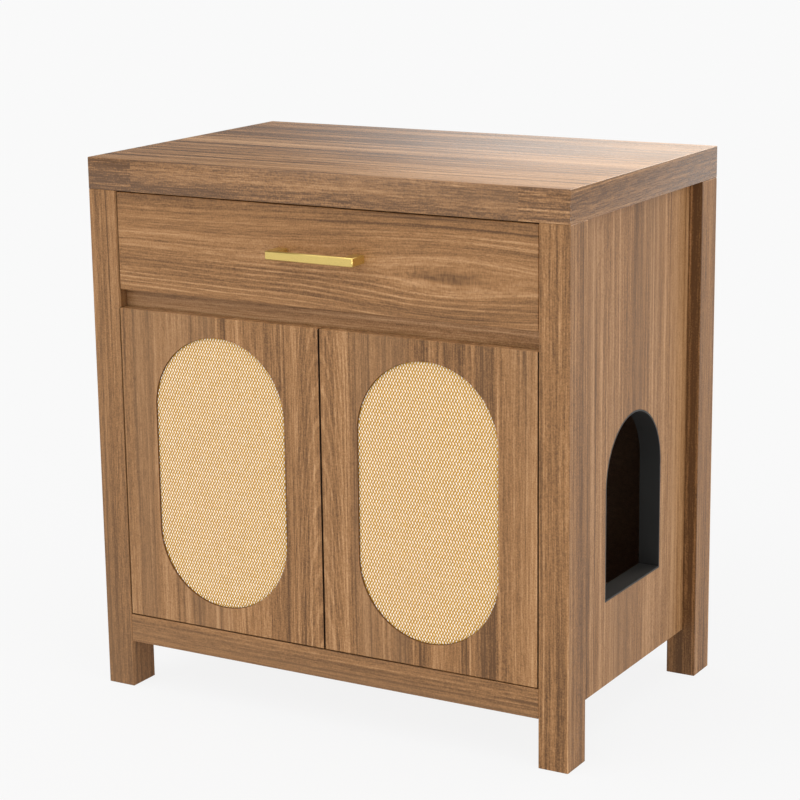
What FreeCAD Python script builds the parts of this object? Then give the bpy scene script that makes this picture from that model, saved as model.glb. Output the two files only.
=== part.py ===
"""Cat litter box cabinet: a hollow-edged top on four square legs, a framed carcass with an arched
entry in its right side, two inset doors with woven inlays on concealed hinges, and a drawer on
telescopic slides.

Frame: X to the right of someone facing the doors, Y to the back, Z up, millimetres.  The origin
is under the middle of the whole cabinet, its drawer pull included, on the floor.
"""
import FreeCAD, Part
import math
import os
import re

import Sketcher

Vector = FreeCAD.Vector

# Driving dimensions, in millimetres and degrees.  Each is one cell of the sheet.
SIZES = {
    # whole cabinet
    "width": 800,
    "depth": 505,
    "height": 828,
    "board": 15,
    "edge_break": 0.8,
    "fine_break": 0.5,
    "seat_gap": 0.3,
    # top and its built-up edge
    "top_thick": 48,
    "lip_wide": 45,
    # legs and side panels
    "leg_wide": 47,
    "leg_deep": 55,
    "panel_inset": 21,
    # arched entry in the right side panel, from the legs' front plane
    "arch_wide": 194,
    "arch_high": 266,
    "arch_low": 202,
    "arch_centre": 259.5,
    "liner_deep": 33,
    "liner_wall": 2.4,
    "flange_wide": 14,
    "flange_thick": 2,
    "liner_screw_span": 120,
    "liner_screw_low": 45,
    # rails, boards and back
    "rail_low": 74,
    "rail_high": 44,
    "mid_rail_setback": 21,
    "mid_rail_high": 50,
    "mid_rail_overlap": 11,
    "back_thick": 3,
    "back_inset": 15,
    "back_margin": 4,
    # doors
    "door_side_gap": 2,
    "door_centre_gap": 3,
    "door_low_gap": 2,
    "finger_gap": 28,
    "window_wide": 228.5,
    "window_high": 416,
    "window_rise": 2.5,
    "window_deep": 5,
    "inlay_thick": 1.5,
    # concealed hinges
    "hinge_inset": 90,
    "cup_from_edge": 21.5,
    "cup_radius": 17.4,
    "cup_wall": 0.8,
    "cup_floor": 0.7,
    "cup_deep": 11.9,
    "bore_slack": 0.1,
    "cup_flange_radius": 19.5,
    "cup_flange_thick": 1,
    "cup_wing_high": 62,
    "cup_wing_wide": 14,
    "cup_screw_span": 48,
    "pin_from_edge": 9.2,
    "pin_back": 5.8,
    "pin_radius": 1.1,
    "pin_slack": 0.05,
    "eye_radius": 1.9,
    "arm_thick": 2.4,
    "arm_high": 12,
    "neck_reach": 12,
    "neck_bend": 5.5,
    "neck_rise": 4.7,
    "root_bend": 6,
    "arm_base_high": 22,
    "arm_base_long": 25,
    "arm_base_corner": 3.5,
    "base_screw_inset": 4,
    # drawer
    "drawer_front_high": 147,
    "drawer_top_gap": 2,
    "drawer_side_gap": 2,
    "drawer_setback": 3,
    "drawer_board": 12,
    "drawer_side_high": 100,
    "groove_up": 8,
    "groove_deep": 5,
    "groove_slack": 0.15,
    "drawer_floor": 3,
    # drawer pull
    "pull_long": 146,
    "pull_high": 13,
    "pull_stand": 33,
    "pull_bar": 6,
    "pull_foot": 18,
    "pull_span": 128,
    "pull_centre": 78,
    "pull_shift": 4.5,
    "pull_round": 0.7,
    "pull_screw_bite": 10,
    # telescopic slides, from the cabinet side towards the drawer
    "slide_room": 13,
    "slide_long": 400,
    "slide_high": 45,
    "slide_sheet": 1.2,
    "race_gap": 0.3,
    "outer_reach": 9,
    "outer_lip": 3.1,
    "middle_sheet": 1,
    "middle_back": 3.4,
    "middle_lip": 2.8,
    "inner_sheet": 1,
    "slide_start": 20,
    "slide_rise": 71,
    "spacer_high": 60,
    # door catches
    "catch_from_centre": 45,
    "catch_long": 46,
    "catch_deep": 16,
    "catch_high": 13,
    "catch_screw_inset": 7,
    "catch_screw_seat": 2,
    "strike_long": 38,
    "strike_high": 11,
    "strike_thick": 1.2,
    # fasteners
    "screw_radius": 1.75,
    "screw_slack": 0.05,
    "screw_head_radius": 3.5,
    "screw_head_high": 1.8,
    "wood_screw_long": 14,
    "short_screw_long": 9,
    "machine_screw_radius": 2,
    "machine_head_radius": 3.9,
    "machine_head_high": 2.5,
    "cam_radius": 7.4,
    "cam_deep": 12,
    "cam_from_edge": 24,
    "cam_slot_wide": 2,
    "cam_slot_deep": 2.5,
    "cam_slot_long": 10.4,
    "cam_bolt_radius": 3,
    "cam_bolt_bite": 11,
    "cam_end_inset": 80,
    "dowel_radius": 4,
    "dowel_long": 30,
    "dowel_from_cam": 32,
    "back_screw_inset": 60,
}

# Places worked out from the sizes: from the floor, the middle, or the legs' front plane.
PLACES = {
    "front": "(pull_stand - drawer_setback - depth) / 2",
    "leg_high": "height - top_thick",
    "leg_inner": "width / 2 - leg_wide",
    "panel_outer": "width / 2 - panel_inset",
    "panel_inner": "panel_outer - board",
    "step": "panel_inner - leg_inner",
    "rail_top": "rail_low + rail_high",
    "back_front": "depth - back_inset - back_thick",
    "drawer_low": "leg_high - drawer_top_gap - drawer_front_high",
    "door_low": "rail_top + door_low_gap",
    "door_high": "drawer_low - finger_gap - door_low",
    "door_wide": "leg_inner - door_side_gap - door_centre_gap / 2",
    "mid_rail_low": "drawer_low + mid_rail_overlap - mid_rail_high",
    "box_half": "leg_inner - slide_room",
    "box_front": "drawer_setback + board",
    "drawer_long": "slide_long",
    "slide_level": "drawer_low + slide_rise",
    "side_low": "slide_level - drawer_side_high / 2",
    "cup_x": "door_side_gap + cup_from_edge",
    "pin_x": "door_side_gap + pin_from_edge",
    "cup_level_low": "door_low + hinge_inset",
    "cup_level_high": "door_low + door_high - hinge_inset",
    "pull_level": "drawer_low + pull_centre",
    "neck_line": "pin_back + neck_bend * 2 + neck_rise",
    "slide_screw_first": "(leg_deep - slide_start) / 2",
    "slide_screw_second": "slide_long * 0.45",
    "slide_screw_third": "slide_long * 0.9",
    "rail_screw_inset": "slide_long * 0.12",
    "box_screw_low": "drawer_side_high * 0.22",
    "box_screw_high": "drawer_side_high * 0.85",
    "catch_screw_bite": "short_screw_long - catch_screw_seat",
}

SIDES = {"left": -1, "right": 1}
HINGE_LEVELS = ("cup_level_low", "cup_level_high")
BOX_SCREW_LEVELS = ("box_screw_low", "box_screw_high")

# Flats round screws and their holes, round pins and cams, and round hinge cups.
SCREW_FLAT_COUNT = 6
PIN_FLAT_COUNT = 8
CUP_FLAT_COUNT = 24

# The least volume, in cubic millimetres, that a real cut takes away.
LEAST_CUT = 0.1


def expression(text):
    """Spell out a formula in the sheet's terms."""
    def spell(match):
        word = match.group()
        if word in PLACES:
            return "(" + expression(PLACES[word]) + ")"
        return "sizes." + word if word in SIZES else word
    return re.sub(r"[a-z_]+", spell, text)


def number(document, text):
    """Work out a formula from the sheet."""
    return float(document.sizes.evalExpression(expression(text)))


def make_sheet(document):
    """Write the driving dimensions, one to a row, with their names."""
    sheet = document.addObject("Spreadsheet::Sheet", "sizes")
    for row, (name, value) in enumerate(SIZES.items(), start=1):
        sheet.set(f"A{row}", name)
        sheet.set(f"B{row}", str(value))
        sheet.setAlias(f"B{row}", name)
    document.recompute()
    return sheet


def place(piece, x, y, z):
    """Bind a piece's place; y counts from the legs' front plane."""
    piece.setExpression("Placement.Base.x", expression(x))
    piece.setExpression("Placement.Base.y", expression(f"front + {y}"))
    piece.setExpression("Placement.Base.z", expression(z))


def low_x(side, inner, thick):
    """The lower X of something that starts `inner` from the middle and is `thick` wide."""
    return inner if side == "right" else f"0 - ({inner}) - ({thick})"


# ---------------------------------------------------------------- sketches and features

def sketch_on(body, plane, offset="0"):
    """A sketch on one of the body's own planes, moved `offset` along the body's axis."""
    sketch = body.newObject("Sketcher::SketchObject", body.Name + "_sketch")
    support = next(item for item in body.Origin.OriginFeatures if item.Role == plane)
    sketch.AttachmentSupport = [(support, "")]
    sketch.MapMode = "FlatFace"
    sign = "0 - " if plane == "XZ_Plane" else ""
    sketch.setExpression("AttachmentOffset.Base.z", expression(f"{sign}({offset})"))
    return sketch


def bind(sketch, kind, references, value):
    """Add one dimension to a sketch and tie it to a formula."""
    start = number(sketch.Document, value)
    index = sketch.addConstraint(Sketcher.Constraint(kind, *references, start))
    sketch.setExpression(f"Constraints[{index}]", expression(value))


def bind_point(sketch, geometry, point, x, y):
    """Tie a point of a sketch to a place."""
    bind(sketch, "DistanceX", (-1, 1, geometry, point), x)
    bind(sketch, "DistanceY", (-1, 1, geometry, point), y)


def outline(sketch, corners):
    """A closed outline of straight edges through the given corners."""
    at = [Vector(number(sketch.Document, x), number(sketch.Document, y), 0) for x, y in corners]
    count = len(at)
    lines = [Part.LineSegment(at[i], at[(i + 1) % count]) for i in range(count)]
    edges = sketch.addGeometry(lines, False)
    for i in range(count):
        follows = edges[(i + 1) % count]
        sketch.addConstraint(Sketcher.Constraint("Coincident", edges[i], 2, follows, 1))
    for edge, (x, y) in zip(edges, corners):
        bind_point(sketch, edge, 1, x, y)


def rectangle(sketch, left, low, wide, high):
    """A rectangle from its lower left corner."""
    right, top = f"({left}) + ({wide})", f"({low}) + ({high})"
    outline(sketch, [(left, low), (right, low), (right, top), (left, top)])


def round_with_flats(sketch, x, y, radius, sides):
    """A small round hole, drawn with a few flats that lie outside its radius."""
    reach = 1 / math.cos(math.pi / sides)
    corners = []
    for i in range(sides):
        turn = 2 * math.pi * i / sides
        right, up = reach * math.cos(turn), reach * math.sin(turn)
        corners.append((f"({x}) + ({radius}) * ({right:.6f})", f"({y}) + ({radius}) * ({up:.6f})"))
    outline(sketch, corners)


def circle(sketch, x, y, radius):
    """A circle about a place."""
    centre = Vector(number(sketch.Document, x), number(sketch.Document, y), 0)
    size = number(sketch.Document, radius)
    ring = sketch.addGeometry(Part.Circle(centre, Vector(0, 0, 1), size), False)
    bind_point(sketch, ring, 3, x, y)
    bind(sketch, "Radius", (ring,), radius)


def arc(sketch, x, y, radius, start, end):
    """An arc about a place, from one angle to another, tied by its centre and radius."""
    centre = Vector(number(sketch.Document, x), number(sketch.Document, y), 0)
    full = Part.Circle(centre, Vector(0, 0, 1), number(sketch.Document, radius))
    bend = sketch.addGeometry(Part.ArcOfCircle(full, start, end), False)
    bind_point(sketch, bend, 3, x, y)
    bind(sketch, "Radius", (bend,), radius)
    return bend


def ends(sketch, geometry):
    """Both ends of a piece of sketch geometry."""
    shape = sketch.Geometry[geometry]
    return shape.StartPoint, shape.EndPoint


def stadium(sketch, x, y, wide, high):
    """An upright outline with half-round ends, about its centre."""
    half = f"(({high}) - ({wide})) / 2"
    top = arc(sketch, x, f"({y}) + {half}", f"({wide}) / 2", 0, math.pi)
    low = arc(sketch, x, f"({y}) - {half}", f"({wide}) / 2", math.pi, 2 * math.pi)
    top_right, top_left = ends(sketch, top)
    low_left, low_right = ends(sketch, low)
    left = sketch.addGeometry(Part.LineSegment(top_left, low_left), False)
    right = sketch.addGeometry(Part.LineSegment(low_right, top_right), False)
    for first, second in ((top, left), (left, low), (low, right), (right, top)):
        sketch.addConstraint(Sketcher.Constraint("Tangent", first, 2, second, 1))


def arch(sketch, x, low, wide, high):
    """A doorway outline: straight sides, flat sill and a half-round head."""
    spring = f"({low}) + ({high}) - ({wide}) / 2"
    head = arc(sketch, x, spring, f"({wide}) / 2", 0, math.pi)
    head_right, head_left = ends(sketch, head)
    sill = number(sketch.Document, low)
    sill_left = Vector(head_left.x, sill, 0)
    sill_right = Vector(head_right.x, sill, 0)
    left = sketch.addGeometry(Part.LineSegment(head_left, sill_left), False)
    base = sketch.addGeometry(Part.LineSegment(sill_left, sill_right), False)
    right = sketch.addGeometry(Part.LineSegment(sill_right, head_right), False)
    sketch.addConstraint([
        Sketcher.Constraint("Tangent", head, 2, left, 1),
        Sketcher.Constraint("Coincident", left, 2, base, 1),
        Sketcher.Constraint("Coincident", base, 2, right, 1),
        Sketcher.Constraint("Tangent", right, 2, head, 1),
        Sketcher.Constraint("Vertical", left),
        Sketcher.Constraint("Horizontal", base),
        Sketcher.Constraint("Vertical", right),
    ])
    bind(sketch, "DistanceY", (-1, 1, base, 1), low)


def pad(body, sketch, length, forward=True):
    """Extrude a sketch along the body's axis, or against it."""
    feature = body.newObject("PartDesign::Pad", body.Name + "_pad")
    feature.Profile = sketch
    feature.setExpression("Length", expression(length))
    normal_is_back = sketch.AttachmentSupport[0][0].Role == "XZ_Plane"
    feature.Reversed = normal_is_back == forward
    return feature


def pocket(body, sketch, depth, forward=True):
    """Cut a sketch along the body's axis, or against it, and see that it did cut."""
    feature = body.newObject("PartDesign::Pocket", body.Name + "_pocket")
    feature.Profile = sketch
    feature.setExpression("Length", expression(depth))
    normal_is_back = sketch.AttachmentSupport[0][0].Role == "XZ_Plane"
    feature.Reversed = normal_is_back != forward
    return feature


def break_edges(body, size):
    """Take the sharpness off every edge that the body has so far."""
    base = body.Tip
    feature = body.newObject("PartDesign::Chamfer", body.Name + "_edges")
    feature.Base = (base, ["Edge1"])
    feature.UseAllEdges = True
    feature.setExpression("Size", expression(size))
    return feature


def drill(body, plane, offset, holes, depth, forward, sides=SCREW_FLAT_COUNT):
    """Small holes of one depth, each given by its place in the plane and its radius."""
    sketch = sketch_on(body, plane, offset)
    for x, y, radius in holes:
        round_with_flats(sketch, x, y, radius, sides)
    pocket(body, sketch, depth, forward)


def new_body(document, name):
    """An empty body that will be written under its own name."""
    body = document.addObject("PartDesign::Body", name)
    body.Label = name
    return body


def board(document, name, corner, size, edges="edge_break"):
    """A rectangular board from its low corner, with its edges broken."""
    body = new_body(document, name)
    sketch = sketch_on(body, "XY_Plane")
    rectangle(sketch, "0", "0", size[0], size[1])
    pad(body, sketch, size[2])
    if edges:
        break_edges(body, edges)
    place(body, *corner)
    return body


def group(document, name, shapes):
    """Several like pieces under one name."""
    feature = document.addObject("Part::Feature", name)
    feature.Label = name
    feature.Shape = Part.makeCompound(shapes) if len(shapes) > 1 else shapes[0]
    return feature


# ---------------------------------------------------------------- top, legs and carcass

def make_top(document):
    """The top board and the four strips that build up its edge."""
    low = "height - board"
    strip = "top_thick - board"
    board(document, "top_board", ("0 - width / 2", "0", low), ("width", "depth", "board"), None)
    for name, y in (("top_front_lip", "0"), ("top_back_lip", "depth - lip_wide")):
        board(document, name, ("0 - width / 2", y, "leg_high"), ("width", "lip_wide", strip), None)
    between = "depth - 2 * lip_wide"
    for side in SIDES:
        corner = (low_x(side, "width / 2 - lip_wide", "lip_wide"), "lip_wide", "leg_high")
        board(document, f"top_{side}_lip", corner, ("lip_wide", between, strip), None)


def cam_levels():
    """Heights of the cam fittings along a side panel, and of the dowels beside them."""
    low = "rail_low + cam_end_inset"
    high = "leg_high - cam_end_inset"
    return (low, high), (f"{low} + dowel_from_cam", f"{high} - dowel_from_cam")


def hinge_screw_places():
    """Places of the hinge screws on a leg's inner face, from the front plane and the floor."""
    deep = "neck_line + root_bend + arm_base_long / 2"
    rise = "arm_base_high / 2 - base_screw_inset"
    return [(deep, f"{level} {sign} ({rise})")
            for level in HINGE_LEVELS for sign in "+-"]


def make_legs(document):
    """Four square legs, drilled for the panels, the hinges and the front slide screws."""
    for side in SIDES:
        for end in ("front", "back"):
            deep = "0" if end == "front" else "depth - leg_deep"
            corner = (low_x(side, "leg_inner", "leg_wide"), deep, "0")
            body = board(document, f"{end}_{side}_leg", corner, ("leg_wide", "leg_deep", "leg_high"))
            drill_leg_for_panel(body, side, end)
            if end == "front":
                drill_leg_for_hardware(body, side)


def drill_leg_for_panel(body, side, end):
    """Bores for the cam bolts and dowels, in the face that the side panel meets."""
    face, forward = ("leg_deep", False) if end == "front" else ("0", True)
    middle = "step + board / 2"
    across = middle if side == "right" else f"leg_wide - ({middle})"
    cams, dowels = cam_levels()
    radius = "cam_bolt_radius + screw_slack"
    drill(body, "XZ_Plane", face, [(across, z, radius) for z in cams], "cam_bolt_bite", forward)
    radius = "dowel_radius + screw_slack"
    drill(body, "XZ_Plane", face, [(across, z, radius) for z in dowels], "dowel_long / 2", forward)


def drill_leg_for_hardware(body, side):
    """Pilot holes for the hinge screws and one slide screw, in the leg's inner face."""
    face, forward = ("leg_wide", False) if side == "left" else ("0", True)
    radius = "screw_radius + screw_slack"
    holes = [(y, z, radius) for y, z in hinge_screw_places()]
    holes.append(("slide_start + slide_screw_first", "slide_level", radius))
    drill(body, "YZ_Plane", face, holes, "wood_screw_long", forward)


def make_side_panels(document):
    """Side panels between the legs; the right one has the arched entry."""
    size = ("board", "depth - 2 * leg_deep", "leg_high - rail_low")
    for side in SIDES:
        corner = (low_x(side, "panel_inner", "board"), "leg_deep", "rail_low")
        body = board(document, f"{side}_side_panel", corner, size, "fine_break")
        if side == "right":
            sketch = sketch_on(body, "YZ_Plane")
            arch(sketch, "arch_centre - leg_deep", "arch_low - rail_low", "arch_wide", "arch_high")
            pocket(body, sketch, "board")
            holes = [(f"{y} - leg_deep", f"{z} - rail_low", "screw_radius + screw_slack")
                     for y, z in liner_screw_places()]
            drill(body, "YZ_Plane", "0", holes, "short_screw_long - flange_thick", True)
        drill_panel_for_cams(body, side)


def drill_panel_for_cams(body, side):
    """Round seats for the cams in the inner face, and the bolt and dowel bores in both ends."""
    face, forward = ("board", False) if side == "left" else ("0", True)
    cams, dowels = cam_levels()
    ends_y = ("cam_from_edge", "depth - 2 * leg_deep - cam_from_edge")
    seats = [(y, f"{z} - rail_low", "cam_radius + bore_slack") for y in ends_y for z in cams]
    drill(body, "YZ_Plane", face, seats, "cam_deep", forward, PIN_FLAT_COUNT)
    for face_y, inward in (("0", True), ("depth - 2 * leg_deep", False)):
        bolts = [("board / 2", f"{z} - rail_low", "cam_bolt_radius + screw_slack") for z in cams]
        drill(body, "XZ_Plane", face_y, bolts, "cam_from_edge", inward)
        pegs = [("board / 2", f"{z} - rail_low", "dowel_radius + screw_slack") for z in dowels]
        drill(body, "XZ_Plane", face_y, pegs, "dowel_long / 2", inward)


def liner_screw_places():
    """Screws of the liner's flange: two up each side and two under the sill."""
    across = "(arch_wide + flange_wide) / 2"
    places = [(f"arch_centre {sign} {across}", f"arch_low + liner_screw_low + {rise}")
              for sign in "+-" for rise in ("0", "liner_screw_span")]
    places += [(f"arch_centre {sign} liner_screw_span / 2", "arch_low - flange_wide / 2")
               for sign in "+-"]
    return places


def make_entry_liner(document):
    """The moulded tunnel that lines the arch, with the flange that holds it from inside."""
    body = new_body(document, "entry_liner")
    tunnel = sketch_on(body, "YZ_Plane")
    slack = "seat_gap"
    wall = f"({slack} + liner_wall)"
    arch(tunnel, "arch_centre", f"arch_low + {slack}", f"arch_wide - 2 * {slack}",
         f"arch_high - 2 * {slack}")
    arch(tunnel, "arch_centre", f"arch_low + {wall}", f"arch_wide - 2 * {wall}",
         f"arch_high - 2 * {wall}")
    pad(body, tunnel, "liner_deep")
    flange = sketch_on(body, "YZ_Plane", "liner_deep - board - flange_thick")
    grow = "flange_wide"
    arch(flange, "arch_centre", f"arch_low - {grow}", f"arch_wide + 2 * {grow}",
         f"arch_high + 2 * {grow}")
    within = f"({slack} + liner_wall / 2)"
    arch(flange, "arch_centre", f"arch_low + {within}", f"arch_wide - 2 * {within}",
         f"arch_high - 2 * {within}")
    pad(body, flange, "flange_thick")
    holes = [(y, z, "screw_radius + screw_slack") for y, z in liner_screw_places()]
    drill(body, "YZ_Plane", "liner_deep - board - flange_thick", holes, "flange_thick", True)
    place(body, "panel_outer - liner_deep", "0", "0")


def make_rails(document):
    """Bottom rails front and back, the top rail at the back and the rail behind the finger gap."""
    span = "2 * leg_inner"
    left = "0 - leg_inner"
    back = "depth - back_inset"
    size = (span, "board", "rail_high")
    board(document, "front_bottom_rail", (left, "0", "rail_low"), size)
    size = (span, "back_inset", "rail_high")
    for name, low in (("back_bottom_rail", "rail_low"), ("back_top_rail", "leg_high - rail_high")):
        body = board(document, name, (left, back, low), size)
        holes = [(f"leg_inner + {x}", "rail_high / 2", "screw_radius + screw_slack")
                 for x in back_screw_columns()]
        drill(body, "XZ_Plane", "0", holes, "short_screw_long - back_thick", True)
    corner = (left, "mid_rail_setback", "mid_rail_low")
    body = board(document, "mid_rail", corner, (span, "board", "mid_rail_high"))
    holes = [(f"leg_inner + {x}", "board / 2", "screw_radius + screw_slack")
             for x in catch_screw_columns()]
    drill(body, "XY_Plane", "0", holes, "catch_screw_bite", True)


def back_screw_columns():
    """Places of the back panel's screws along the rails, from the middle."""
    reach = "(leg_inner - back_screw_inset)"
    return [f"({reach} * {share})" for share in ("-1", "-1 / 3", "1 / 3", "1")]


def catch_screw_columns():
    """Places of the screws of both door catches, from the middle."""
    spread = "(catch_long / 2 - catch_screw_inset)"
    return [f"({sign} catch_from_centre {end} {spread})" for sign in ("0 -", "0 +") for end in "+-"]


def notched(document, name, y, z, deep, front_notch, back_notch):
    """A board across the cabinet, from side panel to side panel, notched round the legs."""
    wide = "2 * panel_inner"
    body = board(document, name, ("0 - panel_inner", y, z), (wide, deep, "board"), None)
    sketch = sketch_on(body, "XY_Plane")
    for left in ("0", f"{wide} - step"):
        rectangle(sketch, left, "0", "step", front_notch)
        rectangle(sketch, left, f"{deep} - ({back_notch})", "step", back_notch)
    pocket(body, sketch, "board")
    return body


def make_shelves(document):
    """The floor of the litter space and the shelf under the drawer."""
    behind = "back_front - (depth - leg_deep)"
    notched(document, "bottom_board", "board", "rail_top - board", "back_front - board",
            "leg_deep - board", behind)
    start = "mid_rail_setback + board"
    notched(document, "divider_shelf", start, "mid_rail_low + mid_rail_high - board",
            f"back_front - ({start})", f"leg_deep - ({start})", behind)


def make_back(document):
    """The thin back, in front of the rails and between the back legs."""
    low = "rail_low + back_margin"
    size = ("2 * leg_inner", "back_thick", "leg_high - rail_low - 2 * back_margin")
    body = board(document, "back_panel", ("0 - leg_inner", "back_front", low), size, None)
    holes = [(f"leg_inner + {x}", z, "screw_radius + screw_slack") for x in back_screw_columns()
             for z in ("rail_high / 2 - back_margin",
                       "leg_high - rail_low - rail_high / 2 - back_margin")]
    drill(body, "XZ_Plane", "0", holes, "back_thick", True)


def make_spacers(document):
    """Strips that bring the side panels out to the legs' inner faces, behind the slides."""
    for side in SIDES:
        corner = (low_x(side, "leg_inner", "step"), "leg_deep", "slide_level - spacer_high / 2")
        size = ("step", "depth - 2 * leg_deep", "spacer_high")
        body = board(document, f"{side}_slide_spacer", corner, size, None)
        face, forward = ("step", False) if side == "left" else ("0", True)
        holes = [(f"slide_start + {y} - leg_deep", "spacer_high / 2", "screw_radius + screw_slack")
                 for y in ("slide_screw_second", "slide_screw_third")]
        drill(body, "YZ_Plane", face, holes, "short_screw_long", forward)


# ---------------------------------------------------------------- doors and hinges

def make_doors(document):
    """Two leaves, each with a round-ended recess in front and two hinge bores behind."""
    for side in SIDES:
        body = new_body(document, f"{side}_door_leaf")
        sketch = sketch_on(body, "XZ_Plane")
        rectangle(sketch, "0", "0", "door_wide", "door_high")
        pad(body, sketch, "board")
        break_edges(body, "edge_break")
        window = sketch_on(body, "XZ_Plane")
        stadium(window, "door_wide / 2", "door_high / 2 + window_rise", "window_wide", "window_high")
        pocket(body, window, "window_deep")
        across = "cup_from_edge" if side == "left" else "door_wide - cup_from_edge"
        levels = ("hinge_inset", "door_high - hinge_inset")
        bores = sketch_on(body, "XZ_Plane", "board")
        for level in levels:
            circle(bores, across, level, "cup_radius + bore_slack")
        pocket(body, bores, "cup_deep + bore_slack", False)
        pilots = [(across, f"{z} {sign} cup_screw_span / 2", "screw_radius + screw_slack")
                  for z in levels for sign in "+-"]
        drill(body, "XZ_Plane", "board", pilots, "short_screw_long - cup_flange_thick", False)
        place(body, low_x(side, "door_centre_gap / 2", "door_wide"), "0", "door_low")


def make_inlays(document):
    """The woven sheet that lies on the floor of each door's recess."""
    for side in SIDES:
        body = new_body(document, f"{side}_rattan_inlay")
        sketch = sketch_on(body, "XZ_Plane")
        stadium(sketch, "0", "0", "window_wide - 2 * seat_gap", "window_high - 2 * seat_gap")
        pad(body, sketch, "inlay_thick")
        centre = "door_centre_gap / 2 + door_wide / 2"
        across = centre if side == "right" else f"0 - ({centre})"
        place(body, across, "window_deep - inlay_thick",
              "door_low + door_high / 2 + window_rise")


class Hardware:
    """Numbers and small shapes shared by the hinges and the fasteners, read from the sheet."""

    def __init__(self, document):
        self.document = document
        self.front = self.size("front")
        self.screw_slack = self.size("screw_slack")

    def size(self, text):
        """Work out a formula from the sheet."""
        return number(self.document, text)

    def point(self, x, y, z):
        """A place from three formulas; y counts from the legs' front plane."""
        return Vector(self.size(x), self.front + self.size(y), self.size(z))

    def rod(self, radius, length, seat, toward, sides=SCREW_FLAT_COUNT, around=False):
        """A small round rod drawn with flats: inside its radius, or around it for a hole."""
        reach = radius / math.cos(math.pi / sides) if around else radius
        turn = FreeCAD.Rotation(Vector(0, 0, 1), toward)
        corners = []
        for i in range(sides + 1):
            angle = 2 * math.pi * i / sides
            corner = Vector(reach * math.cos(angle), reach * math.sin(angle), 0)
            corners.append(seat + turn.multVec(corner))
        return Part.Face(Part.makePolygon(corners)).extrude(toward * length)

    def screw_hole(self, seat, toward, length):
        """The clearance hole of a small screw."""
        return self.rod(self.size("screw_radius + screw_slack"), length, seat, toward, around=True)

    def screw(self, seat, toward, length, shank="screw_radius", head="screw_head_radius",
              high="screw_head_high"):
        """A pan-head screw whose head sits on `seat` and whose shank runs `toward`."""
        body = self.rod(self.size(shank), self.size(length), seat, toward)
        cap = self.rod(self.size(head), self.size(high), seat, toward * -1)
        return body.fuse(cap).removeSplitter()


def hinge_cup(tools, side, level):
    """A drawn cup with its rim, screw wings and the two holes that hold the pin."""
    sign = SIDES[side]
    size = tools.size
    centre = tools.point(f"{sign} * (leg_inner - cup_x)", "board", level)
    inward = Vector(0, -1, 0)
    radius, wall, deep = size("cup_radius"), size("cup_wall"), size("cup_deep")
    thick = size("cup_flange_thick")
    shell = tools.rod(radius, deep, centre, inward, CUP_FLAT_COUNT)
    rim = tools.rod(size("cup_flange_radius"), thick, centre, inward * -1, CUP_FLAT_COUNT)
    wide, high = size("cup_wing_wide"), size("cup_wing_high")
    corner = centre - Vector(wide / 2, 0, high / 2)
    wings = Part.makeBox(wide, thick, high, corner)
    cup = shell.fuse([rim, wings])
    mouth = centre + Vector(0, thick, 0)
    hollow = tools.rod(radius - wall, deep - size("cup_floor") + thick, mouth, inward, CUP_FLAT_COUNT)
    cup = cup.cut(hollow)
    for end in (-1, 1):
        seat = mouth + Vector(0, 0, end * size("cup_screw_span") / 2)
        cup = cup.cut(tools.screw_hole(seat, inward, thick))
    return cup.cut(hinge_pin(tools, side, level)).removeSplitter()


def hinge_pin(tools, side, level):
    """The pin on which the arm's eye turns, held by the cup's wall at both ends."""
    far_side = tools.size("cup_from_edge - pin_from_edge + pin_radius")
    half = math.sqrt(tools.size("cup_radius") ** 2 - far_side ** 2)
    centre = tools.point(f"{SIDES[side]} * (leg_inner - pin_x)", "pin_back", level)
    up = Vector(0, 0, 1)
    return tools.rod(tools.size("pin_radius"), 2 * half, centre - up * half, up, PIN_FLAT_COUNT)


def neck_path(tools, side):
    """The arm's centre line in plan, from the pin round the neck to its base on the leg."""
    sign = SIDES[side]
    size = tools.size

    def at(inward, back):
        return Vector(sign * (size("leg_inner") - inward), tools.front + back, 0)

    pin_x, pin_back = size("pin_x"), size("pin_back")
    turn, reach, rise = size("neck_bend"), size("neck_reach"), size("neck_rise")
    root, half = size("root_bend"), size("arm_thick") / 2
    line = size("neck_line")
    diagonal = math.sqrt(0.5)
    bend_x = pin_x + reach
    low_mid = at(bend_x + turn * diagonal, pin_back + turn * (1 - diagonal))
    high_mid = at(bend_x + turn * diagonal, line - turn * (1 - diagonal))
    root_x = half + root
    root_mid = at(root_x - root * diagonal, line + root * (1 - diagonal))
    stops = [at(pin_x + size("eye_radius") / 2, pin_back), at(bend_x, pin_back)]
    rises = [at(bend_x + turn, pin_back + turn), at(bend_x + turn, pin_back + turn + rise)]
    backs = [at(bend_x, line), at(root_x, line)]
    foot = [at(half, line + root), at(half, line + root + size("arm_base_long"))]
    edges = [
        Part.LineSegment(*stops), Part.Arc(stops[1], low_mid, rises[0]),
        Part.LineSegment(*rises), Part.Arc(rises[1], high_mid, backs[0]),
        Part.LineSegment(*backs), Part.Arc(backs[1], root_mid, foot[0]),
        Part.LineSegment(*foot),
    ]
    return [edge.toShape() for edge in edges]


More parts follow.
